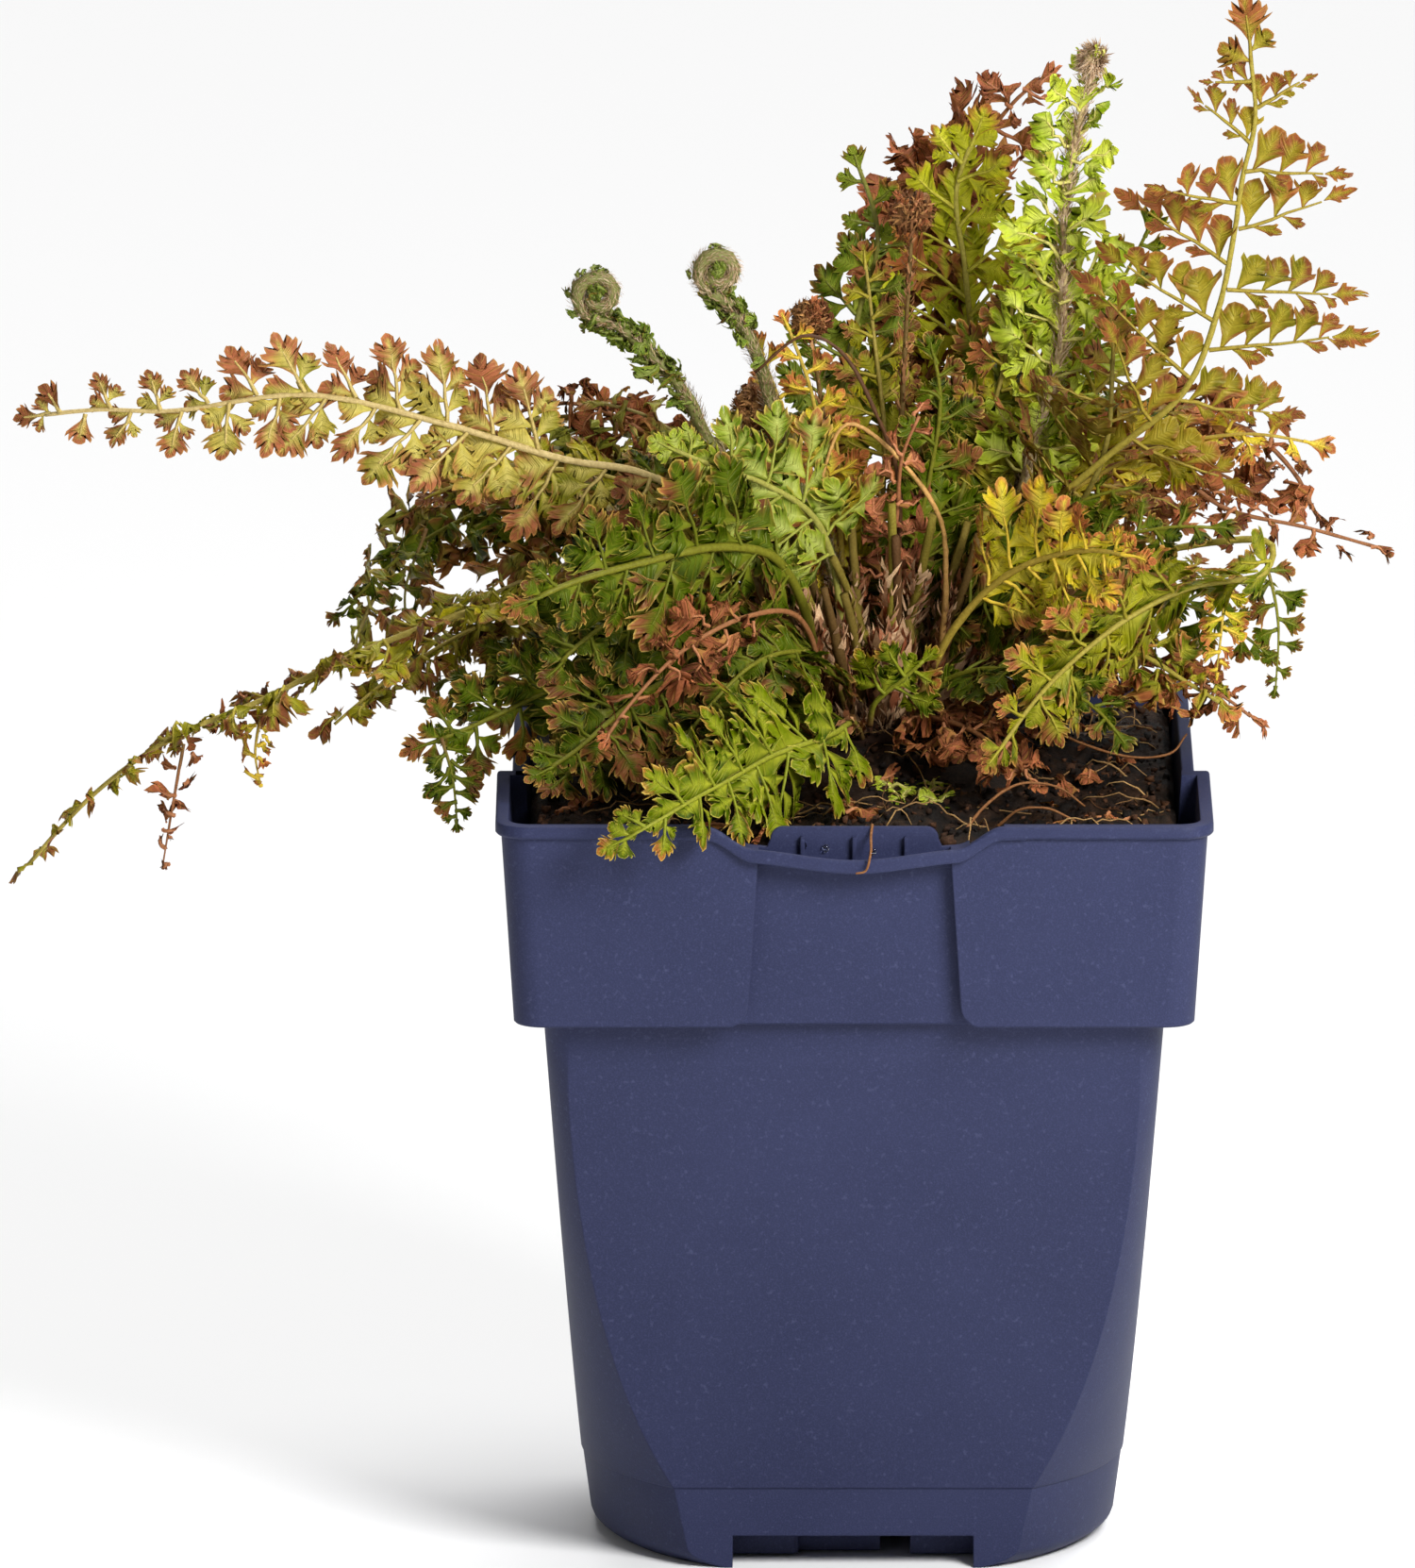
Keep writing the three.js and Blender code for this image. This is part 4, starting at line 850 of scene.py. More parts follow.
def leaflets(kind, reach, wide, rng, rough):
    """The blades of one pinna, each as (points, faces, place, phase). wide is its half width."""
    out = []

    def put(at, length, half, teeth, angle, **more):
        made = blade(length, half, teeth, rng, **more)
        points = lay(made[0], angle, rng.uniform(-1, 1) * rough, (at, 0, 0))
        out.append((points, *made[1:]))

    if kind == "comb":
        count = max(3, int(reach / 6))
        for k in range(count):
            u = k / count
            size = mix(7.8, 5.2, u) * min(1, reach / 20) * rng.uniform(0.85, 1.15)
            at = reach * mix(0.07, 0.8, u)
            put(at, size, size * 0.44, 2, math.radians(rng.uniform(46, 66)), depth=0.14, blunt=0.8)
            if rng.random() < 0.9 - 0.6 * u:
                small = size * rng.uniform(0.6, 0.85)
                angle = -math.radians(rng.uniform(24, 40))
                put(at + 0.05 * reach, small, small * 0.26, 2, angle, blunt=0.5)
        put(reach * 0.74, reach * 0.27, reach * 0.08, 3, rng.uniform(-0.08, 0.08),
            widest=0.4, depth=0.16, blunt=0.6)
    elif reach < 6:
        put(0, reach, min(wide * 1.2, reach * 0.5), 3, 0, lobes=2)
    else:
        free = 1 if reach < 12.5 else 2 if reach < 22 else 3
        start = reach * (0.3, 0.46, 0.56)[free - 1]
        for k in range(free):
            size = min(0.54 * reach, 1.42 * wide) * mix(1, 0.8, k / 2) * rng.uniform(0.88, 1.14)
            angle, lobes = math.radians(rng.uniform(46, 64)), rng.choice((0, 1, 2))
            put(start * (k + 0.1) / free, size, size * 0.56, 3, angle, lobes=lobes)
            size *= rng.uniform(0.8, 1)
            angle, lobes = -math.radians(rng.uniform(44, 62)), rng.choice((0, 1, 2))
            put(start * (k + 0.6) / free, size, size * 0.54, 3, angle, lobes=lobes)
        half = min(0.5 * (reach - start), wide * 1.12)
        put(start, reach - start, half, 5, 0, widest=0.54, depth=0.09, lobes=2, first=0.28, blunt=0.66)
    return out


LIGHT_SIDE = vec(0.25, -0.6, 0.76)


def tint_of(look, points, place, share, along, rng, sear):
    """The colour at each point: the rib, the blade, and what has gone brown."""
    wander = cloud(points, 0.13)
    local = cloud(points, 0.42, 5.0)
    drift = np.clip(0.5 + 0.7 * wander + rng.uniform(-0.3, 0.3), 0, 1)[:, None]
    colour = mix(look["rib"], mix(look["low"], look["high"], drift), ease(place * 2.6)[:, None])
    reach = look["dry"] + look["dry_tip"] * along + sear + rng.uniform(-0.14, 0.14)
    burnt = ease((place * 0.5 + share * 0.5 + 0.3 * local - (1.05 - reach)) / 0.16)[:, None]
    tone = np.clip(0.5 + 0.8 * local + rng.uniform(-0.3, 0.3), 0, 1)[:, None]
    return mix(colour, mix(look["brown"], look["dark"], tone), burnt)


def ribbon(surface, line, widths, tint, up):
    """A thin three-sided stem through the points of line."""
    line = np.array(line)
    rings = []
    for i, p in enumerate(line):
        along = unit(line[min(i + 1, len(line) - 1)] - line[max(i - 1, 0)])
        side = unit(np.cross(along, up))
        over = np.cross(side, along)
        w = widths[i] / 2
        rings.append([p + side * w, p + over * w * 0.9, p - side * w, p - over * w * 0.7])
    points = np.array(rings).reshape(-1, 3)
    faces = [
        (r * 4 + k, r * 4 + (k + 1) % 4, (r + 1) * 4 + (k + 1) % 4, (r + 1) * 4 + k)
        for r in range(len(line) - 1) for k in range(4)
    ]
    surface.add(points, faces, tint, slot=STEM)


def warp(points, reach, bend, cup, twist, crumple, seed):
    """Bends a flat pinna: down along its rib, in across it, twisted, and crumpled by noise."""
    s, t, h = points.T
    h = h - cup * t * t / max(reach, 1)
    turn = twist * s / reach
    t, h = t * np.cos(turn) - h * np.sin(turn), t * np.sin(turn) + h * np.cos(turn)
    k = (bend if abs(bend) > 1e-3 else 1e-3) / reach
    a = k * s
    out = np.column_stack([np.sin(a) / k + h * np.sin(a), t, (np.cos(a) - 1) / k + h * np.cos(a)])
    if crumple:
        shake = np.column_stack([
            cloud(out, 0.34, seed + d) + 0.5 * cloud(out, 0.8, seed - d) for d in (3, 11, 23)
        ])
        out = out + shake * crumple * vec(0.5, 0.8, 1.0)
    return out


def pinna(surface, start, rib, cross, normal, reach, wide, kind, look, along, rng, rough, **shape):
    """Adds one pinna, which leaves the stalk at start. along is how far up the frond that is."""
    seed = rng.random() * 50
    sear = rng.uniform(0.15, 0.45) if rng.random() < look["sear"] else rng.uniform(-0.06, 0.06)

    def world(points):
        bent = warp(points, reach, seed=seed, **shape)
        return start + bent[:, :1] * rib + bent[:, 1:2] * cross + bent[:, 2:] * normal

    for points, faces, place, phase in leaflets(kind, reach, wide, rng, rough):
        share = np.clip(points[:, 0] / reach, 0, 1)
        laid = world(points)
        tint = tint_of(look, laid, place, share, along, rng, sear)
        veins = np.column_stack([phase, place, np.full(len(place), look["pale"])])
        surface.add(laid, faces, tint, veins, surface.leaf)
    line = np.array([(reach * q, 0, 0.03) for q in np.linspace(0, 0.72, 6)])
    ribbon(surface, world(line), np.linspace(0.9, 0.4, 6), mix(look["stem"], look["high"], 0.4), normal)


def tube(surface, line, radii, tint, sides=8, flat=1.0, up=vec(0, 0, 1), slot=STEM, lumps=0.0, seed=0):
    """A round stem through the points of line, with one tint or one for each point."""
    line = np.array(line)
    count = len(line)
    side = None
    rings = []
    angles = np.linspace(0, 2 * math.pi, sides, endpoint=False)[:, None]
    for i, p in enumerate(line):
        along = unit(line[min(i + 1, count - 1)] - line[max(i - 1, 0)])
        side = unit(np.cross(along, up)) if side is None else unit(side - along * np.dot(side, along))
        spokes = side * np.cos(angles) + np.cross(side, along) * flat * np.sin(angles)
        swell = 1 + lumps * cloud(p + spokes * 2, 0.7, seed)[:, None] if lumps else 1
        rings.append(p + spokes * radii[i] * swell)
    points, faces = skin(rings)
    surface.add(points, faces, np.repeat(tint, sides, axis=0) if np.ndim(tint) == 2 else tint, slot=slot)


def flakes(surface, feet, ways, sides, over, lengths, widths, tones):
    """Papery scales or hairs: a narrow blade from each foot, bent up at its middle."""
    count = len(feet)
    middle = feet + ways * lengths * 0.5 + over * lengths * 0.1
    tip = feet + ways * lengths - over * lengths * 0.05 + sides * lengths * 0.12
    half = sides * widths / 2
    points = np.stack([feet - half * 0.7, feet + half * 0.7, middle + half, middle - half, tip], 1)
    each = points.shape[1]
    faces = [
        face for i in range(0, each * count, each)
        for face in ((i, i + 1, i + 2, i + 3), (i + 3, i + 2, i + 4))
    ]
    surface.add(points.reshape(-1, 3), faces, np.repeat(tones, each, axis=0), slot=PAPERY)


def scales(surface, route, start, end, count, size, radius, tints, dice, spread, slender=(0.12, 0.26)):
    """Scales on a stalk from start to end, pointing to its tip. size is their length, slender their
    width as a share of it, spread how far they stand off, and dice a seeded numpy generator."""
    stations = np.linspace(0, route.length, 80)
    rows = np.array([np.concatenate(route.at(d)) for d in stations])
    d = dice.uniform(start, end, count)
    spots = np.column_stack([np.interp(d, stations, rows[:, c]) for c in range(12)])
    point, along, side, face = (spots[:, i:i + 3] for i in (0, 3, 6, 9))
    a, toss, tone = (dice.uniform(0, 1, (count, 1)) for _ in range(3))
    out = side * np.cos(2 * math.pi * a) + face * np.sin(2 * math.pi * a)
    tangent = np.cross(along, out)
    lean = dice.uniform(0.2, 1.0, (count, 1)) * spread
    ways = along * np.cos(lean) + out * np.sin(lean) + tangent * (toss - 0.5) * 0.8
    lengths = size * dice.uniform(0.5, 1.3, (count, 1))
    feet = point + out * np.reshape(radius(d) * 0.9, (-1, 1))
    widths = lengths * dice.uniform(*slender, (count, 1))
    flakes(surface, feet, ways, tangent, out, lengths, widths, mix(tints[0], tints[1], tone))


# ---------------------------------------------------------------- looks of the fronds
def look(rib, low, high, pale, dry, dry_tip, stem, brown=(158, 102, 58), dark=(108, 64, 38), sear=0.14):
    """Display colours of a leaf's rib, its blade from dark to light, its stem and what is dry.
    pale is how pale its margin is, dry and dry_tip how much of it has gone brown, and sear the share
    of pinnae that have dried more than the rest."""
    colours = {"rib": rib, "low": low, "high": high, "stem": stem, "brown": brown, "dark": dark}
    return {**{k: paint(*v) for k, v in colours.items()}, "pale": pale, "dry": dry, "dry_tip": dry_tip,
            "sear": sear}


GOLD = look((204, 188, 104), (132, 130, 34), (206, 184, 90), 0.3, 0.4, 0.3, (200, 178, 122), (186, 112, 78),
            (142, 82, 58), 0.2)
OLIVE = look((160, 154, 48), (104, 104, 6), (176, 164, 30), 0.4, 0.34, 0.24, (164, 148, 70), (164, 98, 60),
             (112, 62, 42))
TALL = look((150, 134, 44), (98, 94, 12), (142, 118, 30), 0.2, 0.45, 0.3, (150, 136, 54), (150, 84, 48),
            (114, 62, 38), 0.2)
GREEN = look((88, 104, 20), (24, 42, 0), (78, 96, 2), 0.6, 0.2, 0.18, (112, 112, 30), (160, 96, 58),
             (98, 54, 36), 0.2)
LIME = look((150, 156, 40), (56, 78, 0), (116, 130, 4), 0.8, 0.2, 0.16, (134, 138, 40), (184, 114, 56),
            (132, 74, 38), 0.0)
YELLOWED = look((158, 154, 46), (80, 96, 2), (166, 160, 18), 0.6, 0.33, 0.2, (150, 138, 56), (192, 112, 68),
                (130, 74, 46), 0.25)
FRESHEST = look((212, 220, 104), (136, 164, 16), (218, 228, 76), 0.6, 0.06, 0.0, (200, 180, 130), sear=0.0)
DARK = look((96, 104, 34), (38, 54, 2), (92, 104, 22), 0.45, 0.3, 0.22, (104, 98, 44), (146, 88, 56),
            (92, 54, 34))
PALE = look((176, 184, 96), (76, 102, 12), (148, 162, 50), 0.95, 0.16, 0.14, (152, 150, 72), (182, 116, 74),
            (128, 76, 50), 0.1)
RUST = look((160, 98, 64), (154, 90, 60), (208, 138, 96), 0.1, 0.78, 0.3, (144, 96, 62), (186, 108, 72),
            (96, 52, 36))
MIXED = look((218, 200, 72), (158, 160, 14), (250, 214, 52), 0.45, 0.36, 0.24, (176, 152, 62),
             (222, 132, 80), (154, 84, 52), 0.3)
FADED = look((162, 158, 72), (104, 116, 34), (190, 188, 88), 0.4, 0.36, 0.24, (150, 136, 78),
             (188, 122, 80), (120, 74, 48), 0.25)
BRONZE = look((150, 128, 60), (100, 84, 22), (168, 142, 56), 0.3, 0.38, 0.24, (130, 118, 52),
              (170, 100, 68), (104, 62, 42), 0.25)
SHADE = look((124, 136, 48), (62, 82, 10), (112, 128, 36), 0.3, 0.16, 0.14, (118, 118, 50))
# A brighter, greener copy of the olive look for the frond at the back middle: painted light on leaves that
# lie in shade behind the fronds in front.
OLIVE_PAINTED_LIGHTER = look((212, 210, 66), (150, 160, 8), (232, 228, 52), 0.4, 0.26, 0.2, (190, 180, 84), (204, 122, 72),
              (146, 80, 50), 0.12)
# A lighter copy of the rust look for the dead fronds at the back: painted light on leaves that lie in
# shade.
RUST_PAINTED_LIGHTER = look((176, 108, 76), (164, 94, 64), (224, 148, 108), 0.0, 0.5, 0.1, (156, 102, 68),
                 (200, 120, 84), (124, 66, 46))
CURL = look((150, 160, 86), (86, 112, 30), (136, 160, 60), 0.5, 0.0, 0.0, (122, 124, 70))
FOOT_TINT = paint(112, 84, 50)
SCALE_TINTS = (paint(208, 160, 112), paint(112, 58, 32))
SILVER_TINTS = (paint(222, 200, 172), paint(160, 124, 92))
PAPER_TINTS = (paint(232, 196, 156), paint(134, 66, 36))


def spots(text):
    """Points from text: three numbers each, with a stroke between two points."""
    return [vec(*map(float, part.split())) for part in text.split("/")]


# What each frond has unless its row says otherwise. pairs is its pinnae, reach the longest one's
# length and slim its width; bare is the share of the stalk below them, stipe the stalk's width and
# thin how much of that is left at its tip; lean, cup, turn and wilt are angles; lost is a side with
# no pinnae up to lost_to; hair, shag, fuzz and tufts are what grows on the stalk.
COMMON = {
    "pairs": 9, "reach": 17, "slim": 1.0, "taper": 1.7, "kind": "fan", "lean": 1.15, "cup": 0.12,
    "turn": 0.0, "wilt": 0.12, "crumple": 0.6, "rough": 0.35, "lost": (), "lost_to": 0.0, "bare": 0.4,
    "stipe": 1.8, "thin": 0.45, "depth": 0.9, "hair": 1.0, "shag": 1.7, "fresh": True, "slot": "green_leaf",
}

# What dead fronds and croziers have in common.
DRIED = {"fresh": False, "slot": "dry_leaf", "rough": 1.0, "wilt": 1.2, "crumple": 3.2}
CROZIER = {
    "coil_from": 0.81, "fat": 0.3, "stipe": 2.9, "thin": 0.8, "crumple": 1.6, "rough": 1.2, "wilt": 2.2,
    "slot": "scaly_crozier",
}


def frond(name, look, across, line, style=None, **more):
    """A row: line runs from the frond's foot to its tip, and across is the way its pinnae lie."""
    row = {**COMMON, **(style or {}), "name": name, "look": look, **more}
    row["base"], *row["route"] = spots(line)
    row["across"] = spots(across)[0]
    row["across_tip"] = spots(more.get("across_tip", across))[0]
    return row


FRONDS = [
    frond("frond_golden_left", GOLD, "0.1 0.25 1",
          "-12 17 146 / -15 11 171 / -25 5 189 / -35 2 196 / -49 0 199 / -70 -3 206 / -96 -5 212 "
          "/ -122 -5 209 / -137 -4 209 / -153 -2 207",
          bare=0.27, pairs=14, reach=19, taper=1.3, slim=0.86, lost=(1,), lost_to=0.26,
          slot="gold_leaf"),
    frond("frond_long_low_left", OLIVE, "0.3 1 0.1",
          "-12 10 143 / -18 4 163 / -30 -4 171 / -53 -12 175 / -65 -15 174 / -75 -17 171 / -91 -20 165 "
          "/ -104 -22 159 / -122 -24 152 / -137 -25 142 / -153 -26 126",
          bare=0.3, pairs=12, reach=14.5, wilt=0.6, crumple=1.8, rough=0.6, slot="olive_leaf"),
    frond("frond_crumpled_left", FADED, "0.2 0.5 1",
          "-13 23 146 / -20 27 174 / -35 33 186 / -49 36 191 / -63 36 189 / -75 34 181 / -85 31 169 "
          "/ -93 28 155",
          bare=0.32, pairs=10, reach=21, wilt=1.4, crumple=3.2, rough=0.9, slot="dark_leaf"),
    frond("frond_dry_top_left", RUST, "0 0.8 0.6",
          "-9 28 146 / -17 34 172 / -28 40 188 / -38 44 196 / -50 46 200 / -64 46 198",
          DRIED, bare=0.5, pairs=7, reach=12, crumple=3.5),
    frond("frond_over_left_edge", GREEN, "0.5 0.2 0.8",
          "-9 4 143 / -21 -3 162 / -35 -12 168 / -46 -18 165 / -59 -24 160 / -70 -27 155 / -82 -28 150",
          bare=0.34, pairs=6, reach=22),
    frond("frond_low_left", GREEN, "-0.5 0.3 0.8",
          "-8 1 146 / -17 -9 159 / -30 -20 163 / -39 -28 162 / -46 -36 158 / -53 -44 153 / -59 -50 150",
          bare=0.33, pairs=6, reach=20),
    frond("frond_left_middle", GREEN, "-0.3 0.2 0.9",
          "-8 7 146 / -17 -5 166 / -28 -14 174 / -39 -22 175 / -48 -28 171 / -57 -33 164",
          bare=0.36, pairs=5, reach=19),
    frond("frond_front", LIME, "-0.45 0.1 0.9",
          "2 0 146 / 0 -12 153 / -4 -25 154 / -15 -38 153 / -23 -50 151 / -30 -62 149.5 / -37 -70 146.5 "
          "/ -46 -75 142",
          bare=0.24, pairs=7, reach=19, taper=2.4, wilt=0.2, stipe=1.3, slim=1.22, slot="lime_leaf",
          crumple=0.3, hair=0.4),
    frond("frond_thick_left", GREEN, "0.1 0.1 1",
          "-6 13 146 / -7 0 170 / -12 -9 183 / -21 -18 187 / -34 -30 187 / -50 -42 185 / -63 -50 181",
          bare=0.34, pairs=6, reach=23, stipe=2.4, slot="olive_leaf"),
    frond("frond_pale_left", PALE, "0.5 0.2 0.8",
          "-2 9 146 / -4 2 175 / -9 -5 189 / -18 -13 197 / -27 -20 202 / -37 -26 208",
          pairs=5, reach=19),
    frond("frond_dead_small_left", RUST, "-0.2 0.4 0.8",
          "-3 3 146 / -9 -12 172 / -18 -24 175 / -30 -36 171 / -40 -46 163 / -46 -54 157",
          DRIED, bare=0.5, pairs=6, reach=9, wilt=1.4, stipe=1.4, crumple=3),
    frond("crozier_left", CURL, "0 -1 0",
          "-7 20 146 / -9 16 176 / -16 15 190 / -25 14 199 / -28 13 206 / -32 12 212 / -37 11 217 "
          "/ -43 10 222 / -48 10 223.5",
          CROZIER, fuzz=1.2, tufts_from=0.6, tufts=44, bare=0.56, pairs=6, reach=6, curl=(4.3, 1.2),
          hair=5),
    frond("crozier_middle", CURL, "0 -1 0",
          "0 15 146 / -2 10 173 / -8 8 192 / -10 7 199 / -13 7 206 / -15 7 213 / -18 7 220 / -22 7 226 "
          "/ -27 7 229.5",
          CROZIER, fuzz=1.3, tufts_from=0.68, tufts=36, bare=0.62, pairs=4, reach=5, stipe=3.1,
          curl=(3.9, 1.2), hair=6),
    frond("frond_unfurling", FRESHEST, "-1 0.2 0",
          "13 21 146 / 20 26 166 / 27 26 181 / 32 25 202 / 35 25 213 / 36 24 229 / 37 24 243 "
          "/ 40 24 255 / 44 24 268",
          coil_from=0.94, fat=1.3, fuzz=2.4, tufts_from=0.91, tufts=8, bare=0.34, pairs=12, cup=0.6,
          lean=1.0, stipe=2.8, curl=(2.2, 0.7), crumple=2.2, rough=0.9, hair=5, shag=2.8,
          slot="lime_leaf", wilt=0.6),
    frond("frond_tall_right", TALL, "-1 -0.2 0.1",
          "12 12 146 / 23 16 174 / 36 13 187 / 48 10 198 / 62 6 211 / 68 5 226 / 71 3 242 / 72 2 251 "
          "/ 74 2 262 / 73 2 271 / 71 2 284",
          bare=0.42, pairs=7, reach=34, kind="comb", slot="olive_leaf", lean=1.22),
    # Its look is the olive brightened: painted light where this frond lies in shade.
    frond("frond_back_middle", OLIVE_PAINTED_LIGHTER, "-1 0.1 0",
          "11 27 146 / 18 36 166 / 24 42 182 / 24 46 205 / 22 48 225 / 20 48 240 / 25 48 255",
          bare=0.34, pairs=8, reach=26, lean=0.98, slot="olive_leaf"),
    frond("frond_back_dry_top", RUST, "-0.8 0.6 0",
          "5 24 146 / 8 38 170 / 11 47 190 / 10 56 212 / 9 60 230 / 13 60 248",
          DRIED, bare=0.45, reach=19),
    frond("frond_dark_upright", SHADE, "-1 0.1 0.1",
          "-2 26 146 / -4 34 172 / -6 36 193 / -3 38 206 / 0 38 219 / 4 38 233 / 0 35 250",
          pairs=7, reach=14, slot="dark_leaf"),
    frond("frond_dead_right", RUST, "-0.4 0.3 0.8",
          "21 26 146 / 28 34 171 / 41 38 185 / 56 38 197 / 70 36 198 / 81 34 189 / 86 32 179",
          DRIED, bare=0.36, pairs=10, reach=15, wilt=1.4, crumple=3.4),
    frond("frond_dead_far_right", RUST, "0 0.6 0.8",
          "17 15 146 / 27 22 174 / 38 22 188 / 48 21 194 / 57 20 192 / 67 18 186 / 82 16 183 "
          "/ 99 13 179",
          DRIED, bare=0.45, pairs=8, reach=10, wilt=1.0, stipe=1.5, crumple=2.6, rough=0.9),
    frond("frond_broken_right", YELLOWED, "-0.2 0.6 0.8",
          "19 8 146 / 32 4 167 / 51 0 179 / 68 -3 184 / 80 -6 184.5 / 79 -10 180 / 66 -13 178 "
          "/ 55 -17 174 / 44 -24 168 / 34 -34 161 / 24 -46 151",
          across_tip="0.6 0.3 -0.6", bare=0.5, pairs=7, reach=19),
    frond("frond_bright_right", MIXED, "-0.5 0.3 0.8",
          "9 1 146 / 17 -5 168 / 26 -13 180 / 36 -22 186 / 45 -30 188 / 54 -36 187",
          bare=0.42, pairs=6, reach=19, slot="olive_leaf"),
    frond("frond_dark_right", BRONZE, "-1 0.1 0.2",
          "19 20 146 / 26 17 171 / 35 14 183 / 42 12 197 / 45 10 211 / 47 10 225",
          bare=0.38, pairs=7, reach=30, kind="comb", turn=1.3, slot="dark_leaf"),
    frond("frond_low_right", YELLOWED, "0.1 0.6 0.7",
          "14 4 146 / 27 0 160 / 39 -6 166 / 51 -10 165 / 61 -14 160 / 70 -16 155",
          bare=0.36, pairs=8, reach=14, wilt=1.2, crumple=2.6, rough=0.9, slot="dry_leaf"),
]
FIRST_SEED = 11
for order, row in enumerate(FRONDS):
    row["seed"] = FIRST_SEED + order
BACK_COUNT = 4
BACK_FAN = (50, 130)  # degrees round from +x
BACK_START = 17
BACK_SPAN = 84
BACK_PEAK = 198
BACK_SEED = 60


def back_fronds():
    """The fronds behind, which arch away from the crown."""
    draw = seeded(BACK_SEED)
    out = []
    for i in range(BACK_COUNT):
        azimuth = math.radians(mix(*BACK_FAN, i / (BACK_COUNT - 1)))
        away = vec(math.cos(azimuth), math.sin(azimuth), 0)
        across = vec(-away[1], away[0], 0)
        span = BACK_SPAN * (0.85 + 0.3 * draw())
        peak = BACK_PEAK - 14 * draw()
        foot = CROWN[2]
        legs = [
            (0, foot), (0.12, mix(foot, peak, 0.5)), (0.36, mix(foot, peak, 0.9)), (0.62, peak),
            (0.84, peak - 5), (1, peak - 14),
        ]
        route = [vec(*(CROWN + away * (BACK_START + span * share))[:2], z) for share, z in legs]
        tone, slot = (OLIVE, "olive_leaf") if i % 2 else (GREEN, "green_leaf")
        out.append({
            **COMMON, "name": f"frond_behind_{i + 1}", "base": route[0], "route": route[1:],
            "across": across, "across_tip": across, "pairs": 10, "reach": 16, "look": tone,
            "slot": slot, "seed": BACK_SEED + i,
        })
    return out


